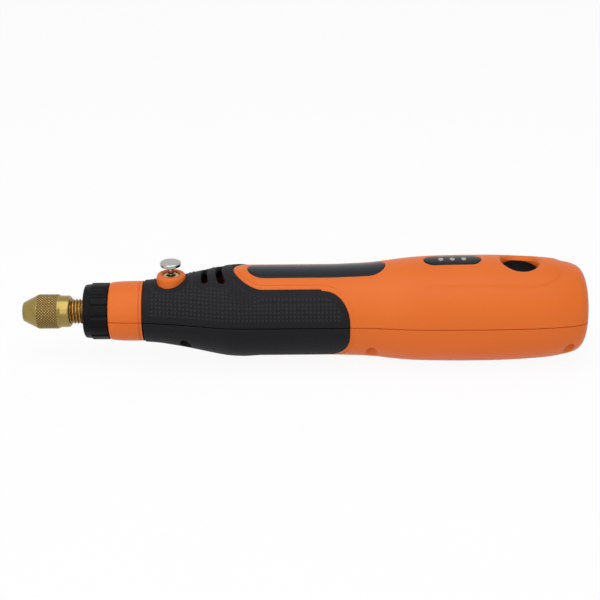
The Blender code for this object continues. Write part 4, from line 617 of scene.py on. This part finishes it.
def squares(x, up, inside, tongue_off):
    """Height of the squares: a product of two soft square waves, one along the pen and one across it.
    The rows lie at equal distances up from the seam, and bend to follow the tongue above."""
    turn = smooth(1.15 - tongue_off / 7)
    across = up * (1 - turn) + (22.4 - tongue_off) * turn
    rows, columns = (0.5 + 0.5 * np.cos(2 * np.pi * a / SQUARE) for a in (across, x))
    return SQUARE_RISE * smooth(rows * 1.8) * smooth(columns * 1.8) * smooth((inside - 2.0) / 0.6)


def pad_form(pad, holes, rims, textured):
    """A pad: a top skin and a sole below the casing's surface, joined by walls at its edges. Each hole
    has a rim of its own roundness. Returns points, faces, and the relief of the squares from 0 to 1."""
    rows = np.linspace(length_at(PAD_START), length_at(PAD_END + 0.4), 262)
    near = np.array([0, 0.06, 0.13, 0.24, 0.4]) / 45
    columns = np.r_[near, np.linspace(near[-1], 1 - near[-1], 166)[1:-1], (1 - near)[::-1]]
    s, v, marks = snapped(rows, columns, [pad, *holes])
    x, y, z = surface(s, v)
    edge = np.minimum(-distance(pad(x, y, z), s, v), x - PAD_START)
    seam = np.minimum(v, 1 - v) * np.pi * np.interp(s, along, outline[:, 1])
    cuts = [distance(hole(x, y, z), s, v) for hole in holes]
    top = PAD_RISE - edge_drop(np.maximum(edge, 0), PAD_EDGE) - edge_drop(seam, 0.35)
    for off, size in zip(cuts, rims):
        top = top - edge_drop(np.maximum(off, 0), size)
    relief = np.zeros(s.shape)
    if textured:
        inside = np.minimum.reduce([edge, seam, *cuts])
        relief = squares(x, seam, inside, distance(tongue(x, y, TONGUE_HALF), s, v))
    top = top + relief
    triangles = split(s.shape, marks)
    middle = surface(s.ravel()[triangles].mean(1), v.ravel()[triangles].mean(1))
    keep = pad(*middle) < 0
    for hole in holes:
        keep &= hole(*middle) > 0
    triangles = triangles[keep]
    edges, _, _ = borders(triangles, np.zeros(len(triangles), int))
    walls = np.stack([edges[:, 0], edges[:, 1], edges[:, 1] + s.size, edges[:, 0] + s.size], -1)
    used, place = np.unique(np.concatenate([
        triangles.ravel(), triangles.ravel() + s.size, walls.ravel()]), return_inverse=True)
    sheets = np.stack([np.stack(surface(s, v, lift), -1) for lift in (top, -PAD_DEPTH)])
    points = sheets.reshape(-1, 3)[used]
    count = 2 * triangles.size
    # The squares' height, from 0 to 1, sets the painted highlight on their tops
    layer = np.stack([relief / SQUARE_RISE, np.zeros(s.shape)]).ravel()[used]
    return points, [place[:count].reshape(-1, 3), place[count:].reshape(-1, 4)], layer


points, faces, layer = pad_form(upper_pad, [boss, vents], [0.12, 0.3], True)
piece("grip_pad_upper", points, faces, [grip_rubber], "housing", "grip_rubber", ["upper_grip"], layer=layer)
points, faces, layer = pad_form(lower_pad, [wells], [0.3], False)
piece("grip_pad_lower", points * (1, 1, -1), faces, [grip_rubber], "housing", "grip_rubber", ["lower_grip"],
      layer=layer)

# Label plate
# A thin inlay of dark polycarbonate let into the tongue, flush with it and bare. Its edge is
# slightly rounded and its face is glossy.

# Polycarbonate sheet with a gloss face: a slate grey that mirrors the room softly.
slate_sheet = made_of("slate_polycarbonate", "1A1D22", "1D2127", 0.24, ior=1.58, specular=0.1, mottle=9,
                      grit=3, depth=0.004)

LABEL_RADIUS, LABEL_SINK, PLATE = 5.3, 0.08, 0.75


def slot_grid(straight, radius, rings, count=24, parts=16):
    """Nested slot outlines with round ends. Each ring (inset, height) is the outline moved inwards by
    its inset; rings as far in as the radius lie on the middle line, which closes the form."""
    half = np.linspace(0, np.pi, count)
    side = np.linspace(straight, -straight, parts + 1)[1:-1]
    turn = np.r_[half - np.pi / 2, np.full(parts - 1, np.pi / 2), half + np.pi / 2,
                 np.full(parts - 1, -np.pi / 2), -np.pi / 2]
    middle = np.r_[np.full(count, straight), side, np.full(count, -straight), -side, straight]
    rings = np.array(rings, float)
    left = radius - rings[:, :1]
    height = np.broadcast_to(rings[:, 1:], (len(rings), len(turn)))
    return middle + left * np.cos(turn), left * np.sin(turn), height


def inlay(middle, straight, radius, sink, thickness, across=False):
    """A plate that follows the casing, with a rounded upper edge. Its height over a point of the plan is
    sqrt(r^2 - y^2), with r the body's radius less the depth."""
    insets = np.r_[np.linspace(radius, 0.3, 12), 0.16, 0.06, 0, 0, radius]
    lifts = -sink - np.r_[np.zeros(12), 0.03, 0.09, 0.2, thickness, thickness]
    a, b, lift = slot_grid(straight, radius, np.stack([insets, lifts], -1))
    x, y = (b + middle, a) if across else (a + middle, b)
    points = np.stack([x, y, np.sqrt((radius_at(x) + lift) ** 2 - y ** 2)], -1)
    return points.reshape(-1, 3), [grid_faces(*x.shape)]


piece("label_panel", *inlay(LABEL, LABEL_STRAIGHT, LABEL_RADIUS, LABEL_SINK, PLATE), [slate_sheet],
      "housing", "black_abs", ["label_plate"])

# Charge window
# A smoked acrylic window with round ends, let into the top of the casing. The pale ends of the three
# charge lamps' light guides lie flush in it.

# Smoked acrylic, polished: near black, with a soft mirror gloss.
smoked = made_of("smoked_acrylic", "14171A", "171B1F", 0.16, ior=1.49, specular=0.1, mottle=6, grit=4,
                 depth=0.003)
# Milky polycarbonate of the light guides: pale grey behind the gloss.
milky = made_of("milky_light_guide", "8F8B89", "A8A4A1", 0.3, ior=1.58, specular=0.3, mottle=1.2)

WINDOW_RADIUS = 3.45
LAMP_PITCH, LAMP_STRAIGHT, LAMP_RADIUS = 3.65, 0.45, 0.88

window = inlay(WINDOW, WINDOW_STRAIGHT, WINDOW_RADIUS, -PANEL_RISE, PLATE)
lamps = [
    inlay(WINDOW + LAMP_PITCH * index, LAMP_STRAIGHT, LAMP_RADIUS, -PANEL_RISE - 0.04, 0.2, across=True)
    for index in (-1, 0, 1)
]
points, faces = together(window, *lamps)
marks = np.concatenate([np.full(len(face), index > 0) for index, face in enumerate(faces)])
piece("charge_window", points, faces, [smoked, milky], "housing", "smoked_window", ["led_window"],
      marks=marks)

# Power button
# A round cap of black ABS with a soft-touch coat, about 2.5 mm below the casing's surface and nearly
# parallel to it. It rides on the plunger of the switch below.

CAP_FOOT, CAP_TOP, CAP_RADIUS = 12.85, 14.27, 5.6
CAP_SLOPE = 0.06

# Soft-touch coat of the button: black and matt, with hardly any highlight.
soft_black = made_of("soft_touch_black", "08080A", "0B0B0D", 0.75, specular=0.03, mottle=8, grit=0.4,
                     depth=0.01)

cap = softened(
    [(CAP_FOOT, 0), (CAP_FOOT, CAP_RADIUS), (CAP_TOP, CAP_RADIUS), (CAP_TOP - 0.08, 3.6),
     (CAP_TOP - 0.15, 0)],
    [0, 0, 0.5, 1.2, 0], 8,
)
points, faces = lathe(cap, 96, "z", (BUTTON, 0))
# The slope grows from nothing at the foot to its full share near the top
points[:, 2] -= CAP_SLOPE * (points[:, 0] - BUTTON) * (points[:, 2] - CAP_FOOT) / 1.35
piece("power_button_cap", points, faces, [soft_black], "button_body", "black_abs", ["power_button"])

# Nose ring
# A black ABS ring screwed onto the casing's neck. Its front edge is rounded, and sixteen broad ribs
# run along it for the fingers.

RIBS, RIB_RISE = 16, 0.4

# Black ABS with a fine satin grain: dark, with a soft highlight along its edges.
black_abs = made_of("moulded_black_abs", "0A0A0C", "0D0D10", 0.4, ior=1.53, specular=0.08, mottle=8,
                    grit=0.4, depth=0.01)

ring_path = softened(
    [(20.05, 6.0), (20.05, 8.5), (22.3, 8.8), (22.45, 8.8), (27.9, 8.8), (27.9, 7.5), (21.8, 7.5),
     (21.8, 6.0)],
    [0.2, 0.7, 0.1, 0.1, 0.15, 0, 0, 0], 6, closed=True,
)


def dense(path, spacing):
    """A closed path with further points, so that none of its legs is longer than the spacing."""
    path = np.concatenate([path, path[:1]])
    run = np.r_[0, np.cumsum(np.linalg.norm(np.diff(path, axis=0), axis=1))]
    at = np.union1d(run, np.arange(0, run[-1], spacing))
    at = at[np.r_[True, np.diff(at) > 1e-4]]
    return np.stack([np.interp(at, run, path[:, i]) for i in (0, 1)], -1)


def ribbed(x, turn, r):
    """Broad ribs with narrow valleys between, which rise behind the rim: r grows by a soft square wave,
    the smooth step of (cos(16 turn) + 0.95) / 0.7."""
    wave = smooth((np.cos(RIBS * turn) + 0.95) / 0.7)
    return r + (RIB_RISE * wave - 0.08) * smooth((x - 22.3) / 0.3) * smooth((r - 8.2) / 0.2)


piece("ribbed_nose_ring", *lathe(dense(ring_path, 0.35), 384, "x", radius=ribbed), [black_abs],
      "nose_ring_body", "black_abs", ["nose_ring"], crease=50)

# Chuck nut
# A turned brass nut that closes the collet: a cone in front, a band with a diamond knurl for the
# fingers, and a plain bright band behind it.

# Free-cutting brass, turned: yellow, with fine rings 0.2 mm apart and a clear highlight.
brass = made_of("turned_brass", "8F7B45", "99854C", 0.22, metallic=1.0, mottle=2.5, grit=0.2, depth=0.005,
                stretch=(1, 0.03, 0.03))
# Painted shade in the knurl's valleys and a painted highlight on its points: dark brown in the hollows,
# pale yellow on the tops.
knurl_brass = made_of("knurled_brass", "3E2D16", "B89C60", 0.34, metallic=1.0, grit=0.3, depth=0.006,
                      layer="depth")

NUT_PATH = [
    (0.0, 2.0), (0.0, 3.0), (4.7, 5.42), (5.1, 5.5), (11.4, 5.5), (12.4, 5.12), (14.9, 5.12), (15.4, 4.75),
    (15.4, 4.3), (4.3, 4.3), (3.9, 2.7), (0.9, 2.0),
]
KNURL_COUNT, KNURL_PITCH, KNURL_RISE = 36, 0.95, 0.25
KNURL_START, KNURL_END, KNURL_FOOT = 4.9, 11.5, 4.8


def knurled(x, turn, r):
    """Diamonds where two sets of helical grooves cross: r grows by the lower of the two triangle waves of
    n a/2pi + x/p and n a/2pi - x/p, for n grooves of the pitch p."""
    waves = [np.abs(((KNURL_COUNT * turn / (2 * np.pi) + way * x / KNURL_PITCH) % 1) - 0.5) * 2
             for way in (1, -1)]
    on = smooth((x - KNURL_START + 0.1) / 0.3) * smooth((KNURL_END + 0.1 - x) / 0.3) * (r > KNURL_FOOT)
    return r + (KNURL_RISE * np.minimum(*waves) - 0.14) * on


nut_path = softened(NUT_PATH, [0.3, 0.5, 0.2, 0.15, 0.1, 0.15, 0.3, 0.2, 0, 0, 0, 0], 5, closed=True)
points, faces = lathe(dense(nut_path, 0.14), 324, "x", radius=knurled)
# The radius sets the painted shade and highlight: dark in the knurl's valleys, bright on its points
r = np.hypot(points[:, 1], points[:, 2])
middle = points[faces[0]].mean(1)
marks = (middle[:, 0] > KNURL_START) & (middle[:, 0] < KNURL_END)
marks &= np.hypot(middle[:, 1], middle[:, 2]) > KNURL_FOOT
piece("knurled_chuck_nut", points, faces, [brass, knurl_brass], "nut_body", "brass", ["chuck_nut"],
      crease=28, marks=marks, layer=np.clip((r - 5.37) / 0.2, 0, 1))

# Collet
# A hardened steel collet in the nut: four jaws, parted by saw cuts, on a plain sleeve.

# Ground tool steel: grey, with a fine even gloss.
steel = made_of("ground_steel", "B0B3B8", "C0C3C7", 0.26, metallic=1.0, mottle=2, grit=0.2, depth=0.004,
                stretch=(1, 0.03, 0.03))

SAW_CUT = 0.5
jaw_path = np.array([
    (12.4, 2.4), (4.5, 2.4), (3.9, 2.25), (1.3, 1.72), (1.2, 1.6), (1.2, 1.45), (12.4, 1.45),
])


def jaw(quarter):
    """One jaw: the profile swept between two saw cuts, with flat ends. At the radius r it starts at
    the angle arcsin(cut / 2r) past the quarter."""
    r = jaw_path[:, 1:]
    half = np.arcsin(SAW_CUT / 2 / r)
    turn = quarter * np.pi / 2 + half + (np.pi / 2 - 2 * half) * np.linspace(0, 1, 13)
    grid = np.stack([np.broadcast_to(jaw_path[:, :1], turn.shape), r * np.cos(turn), r * np.sin(turn)], -1)
    grid = np.concatenate([grid, grid[:1]])
    return grid.reshape(-1, 3), [grid_faces(len(grid), 13)]


sleeve = lathe([(12.2, 1.5), (12.2, 2.4), (17.0, 2.4), (17.0, 1.5)], 64)
piece("split_collet", *together(*[jaw(quarter) for quarter in range(4)], sleeve), [steel], "collet_body",
      "bright_steel", ["collet"])

# Spindle
# The brass spindle: bored for the collet in front, threaded for the nut, and stepped down for its
# two bearings.

# Brass of the thread with painted shade in its roots and a painted highlight on its crests: dark in its
# roots and golden on its crests.
thread_brass = made_of("thread_brass_painted_shade", "6E5024", "BC9450", 0.34, metallic=1.0, grit=0.2, depth=0.004,
                       stretch=(1, 0.03, 0.03), layer="depth")

THREAD_START, THREAD_END, THREAD_ROOT, THREAD_RISE, THREAD_PITCH = 12.5, 21.3, 3.55, 0.5, 1.0

spindle_path = [
    (17.8, 0.0), (17.8, 2.7), (8.0, 2.7), (8.0, THREAD_ROOT), (THREAD_END, THREAD_ROOT), (21.4, 3.7),
    (28.3, 3.7), (28.3, 4.2), (29.5, 4.2), (29.5, 2.7), (34.8, 2.7), (34.8, 2.2), (61.7, 2.2), (61.7, 0.0),
]
run = np.r_[0, np.cumsum(np.linalg.norm(np.diff(spindle_path, axis=0), axis=1))]
at = np.union1d(run, np.arange(run[3], run[4], 0.07))
spindle_path = np.stack([np.interp(at, run, np.array(spindle_path)[:, i]) for i in (0, 1)], -1)


def threaded(x, turn, r):
    """A right-handed thread: a soft ridge that goes one pitch along the pen for each turn. Its height is
    the smooth step of 1.4 w - 0.2, with w the triangle wave of x/p - a/2pi."""
    ridge = smooth(np.abs(((x / THREAD_PITCH - turn / (2 * np.pi)) % 1) - 0.5) * 2 * 1.4 - 0.2)
    on = smooth((x - THREAD_START) / 0.5) * smooth((THREAD_END - x) / 0.4)
    return r + THREAD_RISE * ridge * on * (np.abs(r - THREAD_ROOT) < 0.01)


points, faces = lathe(spindle_path, 72, "x", radius=threaded)
# The radius sets the painted shade in the thread's roots and the painted highlight on its crests
r = np.hypot(points[:, 1], points[:, 2])
piece("threaded_spindle", points, faces, [thread_brass], "spindle_set", "brass", ["spindle"],
      layer=np.where(points[:, 0] < THREAD_END, np.clip((r - THREAD_ROOT) / THREAD_RISE, 0, 1), 0.7))

# Spindle lock
# A chromed push pin with a domed head, lifted by a spring under it. It slides in a brass bush that
# sits in the boss of the casing.

# Chrome plating: a neutral grey mirror, a little hazy.
chrome = made_of("chrome_plate", "A3A2A0", "ADACAA", 0.13, metallic=1.0, mottle=4, grit=1.2, depth=0.002)
# Nickelled brass of the bush: pale yellow.
pale_brass = made_of("pale_brass", "A89A6C", "B5A87A", 0.26, metallic=1.0, mottle=1.5, grit=0.3,
                      depth=0.003)

PIN_RADIUS, COLLAR_RADIUS = 0.925, 1.75

pin = softened(
    [(4.9, 0), (4.9, PIN_RADIUS), (10.0, PIN_RADIUS), (10.0, COLLAR_RADIUS), (10.6, COLLAR_RADIUS),
     (10.6, PIN_RADIUS), (15.6, PIN_RADIUS), (15.6, 3.1), (15.8, 3.35), (16.7, 3.35), (17.0, 2.95),
     (17.1, 0)],
    [0, 0.2, 0, 0.1, 0.1, 0, 0.1, 0.12, 0.12, 0.2, 0.5, 0], 9,
)
piece("lock_push_pin", *lathe(pin, 96, "z", (LOCK, 0)), [chrome], "lock_body", "chrome", ["lock_pin"])
bush = softened([(10.9, 1.5), (12.45, 1.5), (12.45, 2.57), (10.9, 2.57)], [0, 0.2, 0.2, 0], 4, closed=True)
piece("lock_guide_bush", *lathe(bush, 72, "z", (LOCK, 0)), [pale_brass], "housing", "brass", ["lock_bush"])

# Casing screws
# Six zinc-plated self-tapping screws with cross recesses, deep in the wells of the lower half.

# Zinc plating over steel: a bluish grey satin.
zinc = made_of("zinc_plated_steel", "6E7277", "7E8287", 0.45, metallic=1.0, mottle=1.5, grit=0.4,
                depth=0.004)

SHANK_RADIUS, HEAD_RADIUS, HEAD_RISE = 0.9, 1.6, 1.2
RECESS_HALF, RECESS_REACH, RECESS_DEPTH = 0.22, 1.0, 0.6


def screw(at, side):
    """A pan head on a plain shank. The points of its face that lie near either middle line are sunk as
    a cross recess."""
    head = seat(at) + 0.3
    face = -head - HEAD_RISE
    path = [(3.5, 0), (2.6, SHANK_RADIUS), (-head, SHANK_RADIUS), (-head, HEAD_RADIUS),
            (face + 0.3, HEAD_RADIUS), *[(face, r) for r in np.linspace(1.3, 0, 14)]]
    points, faces = lathe(path, 64, "z", (at, side))
    across, up = np.abs(points[:, :2] - (at, side)), points[:, 2]
    inside = (across.min(1) < RECESS_HALF) & (np.hypot(*across.T) < RECESS_REACH)
    points[:, 2] += RECESS_DEPTH * (inside & (up < face + 0.1))
    return points, faces


for number, (at, side) in enumerate([(x, y * way) for x, y in SCREWS for way in (1, -1)], 1):
    piece(f"casing_screw_{number}", *screw(at, side), [zinc], "housing", "zinc_steel",
          [f"case_screw_{number}"])

# Charge socket
# A drawn steel shell with fully round ends and a plastic tongue, set back in its port at the rear.

# Tin-plated steel: pale and bright.
tinned = made_of("tinned_steel", "B2B3B2", "C0C0BD", 0.28, metallic=1.0, mottle=2, grit=0.5, depth=0.003)

MOUTH, SHELL_RADIUS, BLADE_RADIUS = 180.1, 1.6, 0.35

shell = slot_grid(SOCKET_STRAIGHT, SHELL_RADIUS, [
    (SHELL_RADIUS, 172.7), (0, 172.7), (0, MOUTH - 0.05), (0.06, MOUTH), (0.34, MOUTH), (0.4, MOUTH - 0.05),
    (0.4, 173.5), (SHELL_RADIUS, 173.5),
])
blade = slot_grid(2.65, BLADE_RADIUS, [
    (BLADE_RADIUS, 173.1), (0, 173.1), (0, MOUTH - 0.9), (0.1, MOUTH - 0.8), (BLADE_RADIUS, MOUTH - 0.8),
])
points, faces = together(*[
    (np.stack([x, across, up + SOCKET_HEIGHT], -1).reshape(-1, 3), [grid_faces(*x.shape)])
    for across, up, x in (shell, blade)
])
marks = np.concatenate([np.full(len(face), index) for index, face in enumerate(faces)])
piece("charging_socket", points, faces, [tinned, black_abs], "housing", "nickel_strip", ["charge_socket"],
      marks=marks)

# Pieces inside the casing
# The spindle's bearings, the motor, the battery and the board keep their packed forms, and get the
# finish of what they are made of.

# Sintered bronze, enamelled copper wire, varnished iron sheet, ferrite and nickel strip are plain
# industrial finishes with a slight mottling; wire and sheet also show their 0.3 mm layers.
bronze = made_of("sintered_bronze", "9A6A36", "AE7A42", 0.48, metallic=1.0, mottle=0.8, grit=0.2)
copper = made_of("enamelled_copper", "A9582A", "BC6A35", 0.32, metallic=1.0, mottle=0.6, grit=0.3,
                 depth=0.03, stretch=(0.1, 1, 1))
iron = made_of("varnished_iron_sheet", "55585C", "626569", 0.5, metallic=1.0, mottle=1, grit=0.3,
               depth=0.02, stretch=(1, 0.05, 0.05))
ferrite = made_of("sintered_ferrite", "343538", "3F4043", 0.8, mottle=0.8, grit=0.2)
nickel = made_of("nickel_strip", "BDBBB2", "CAC8C0", 0.3, metallic=1.0, mottle=2)
wrap = made_of("blue_shrink_wrap", "2A66A5", "3374B8", 0.34, mottle=6, grit=3)
board = made_of("green_solder_mask", "1B6236", "21703E", 0.38, mottle=1.5, grit=0.6)
clear = made_of("clear_polycarbonate", "DCE4EA", "EAF0F3", 0.12, ior=1.58, mottle=4)
lamp = made_of("lamp_resin", "EDEBDC", "F5F3E6", 0.3, mottle=1)
red_lead = made_of("red_pvc_insulation", "A8231C", "B82B22", 0.45, mottle=2)
black_lead = made_of("black_pvc_insulation", "17171A", "1F1F22", 0.45, mottle=2)

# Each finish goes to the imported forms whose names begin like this
FINISHES = {
    steel: ("front_bearing", "rear_bearing", "spacer_sleeve", "motor_shaft", "lock_spring"),
    zinc: ("lock_collar", "shaft_coupling", "motor_can", "board_screw"),
    black_abs: ("motor_end_cap", "tact_switch", "switch_plunger"),
    bronze: ("motor_bush", "motor_brush"),
    copper: ("armature_coil", "commutator"),
    iron: ("armature_core",),
    ferrite: ("motor_magnet",),
    nickel: ("battery_tab",),
    wrap: ("battery_cell",),
    board: ("circuit_board",),
    clear: ("light_guide",),
    lamp: ("charge_lamp",),
    red_lead: ("motor_lead_red", "battery_lead"),
    black_lead: ("motor_lead_black",),
}
for material, starts in FINISHES.items():
    for name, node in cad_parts.items():
        if name.startswith(starts):
            for slot in node.material_slots:
                slot.material = material

# Studio
# A white table and backdrop, a wide soft light from above and a weaker one from the front left.


def background(tree):
    """1 for the rays that show the white background: those from the camera, in gloss and through glass."""
    seen = step(tree, "ShaderNodeLightPath").outputs
    part = step(tree, "ShaderNodeMath", {0: seen["Is Camera Ray"], 1: seen["Is Glossy Ray"]},
                operation="MAXIMUM")
    return step(tree, "ShaderNodeMath", {0: part.outputs[0], 1: seen["Is Transmission Ray"]},
                operation="MAXIMUM").outputs[0]


table = bpy.data.objects.new("table", bpy.data.meshes.new("table"))
table.data.from_pydata([(-3, -3, 0), (3, -3, 0), (3, 3, 0), (-3, 3, 0)], [], [(0, 1, 2, 3)])
bpy.context.scene.collection.objects.link(table)
# White paper, matt: most of what the camera sees of it is plain white, and the rest keeps the shadow.
paper = made_of("white_paper", "F0F0F0", "F4F4F4", 0.9, mottle=40, grit=1)
tree = paper.node_tree
share = step(tree, "ShaderNodeMath", {0: background(tree), 1: 0.93}, operation="MULTIPLY")
white = step(tree, "ShaderNodeEmission", {"Color": (1, 1, 1, 1), "Strength": 1.0})
mixed = step(tree, "ShaderNodeMixShader", {0: share.outputs[0], 1: tree.nodes["Principled BSDF"].outputs[0],
                                           2: white.outputs[0]})
tree.links.new(mixed.outputs[0], tree.nodes["Material Output"].inputs["Surface"])
table.data.materials.append(paper)

world = bpy.data.worlds.new("studio")
bpy.context.scene.world = world
world.use_nodes = True
tree = world.node_tree
level = step(tree, "ShaderNodeMapRange", {"Value": background(tree), "To Min": 0.45, "To Max": 1.0})
tree.nodes["Background"].inputs["Color"].default_value = (1, 1, 1, 1)
tree.links.new(level.outputs["Result"], tree.nodes["Background"].inputs["Strength"])


def soft_light(name, place, size, power):
    """A square area light that faces the pen."""
    light = bpy.data.lights.new(name, "AREA")
    light.shape = "SQUARE"
    light.size = size
    light.energy = power
    item = bpy.data.objects.new(name, light)
    item.location = place
    item.rotation_euler = (Vector((0, 0, 0.016)) - Vector(place)).to_track_quat("-Z", "Y").to_euler()
    bpy.context.scene.collection.objects.link(item)


soft_light("light_above", (-0.005, -0.15, 0.48), 0.52, 1.48)
soft_light("light_front", (-0.35, -0.65, 0.35), 0.6, 1.25)

# Camera
# Level with the pen's side, 24 degrees above it, with the long lens of a catalogue photograph.

AIM_UP = 0.00303
rise = np.radians(24)
camera = bpy.data.objects.new("camera", bpy.data.cameras.new("camera"))
aim = Vector((-0.00159, AIM_UP * np.sin(rise), BELLY / 1000 + AIM_UP * np.cos(rise)))
camera.location = aim + Vector((0, -np.cos(rise), np.sin(rise))) * 0.43
tilt = Euler((np.pi / 2 - rise, 0, 0)).to_matrix() @ Euler((0, 0, np.radians(-0.47))).to_matrix()
camera.rotation_euler = tilt.to_euler()
camera.data.sensor_fit = "HORIZONTAL"
camera.data.angle = np.radians(25.38)
camera.data.clip_start = 0.01
bpy.context.scene.collection.objects.link(camera)
bpy.context.scene.camera = camera
bpy.context.scene.view_settings.view_transform = "Standard"
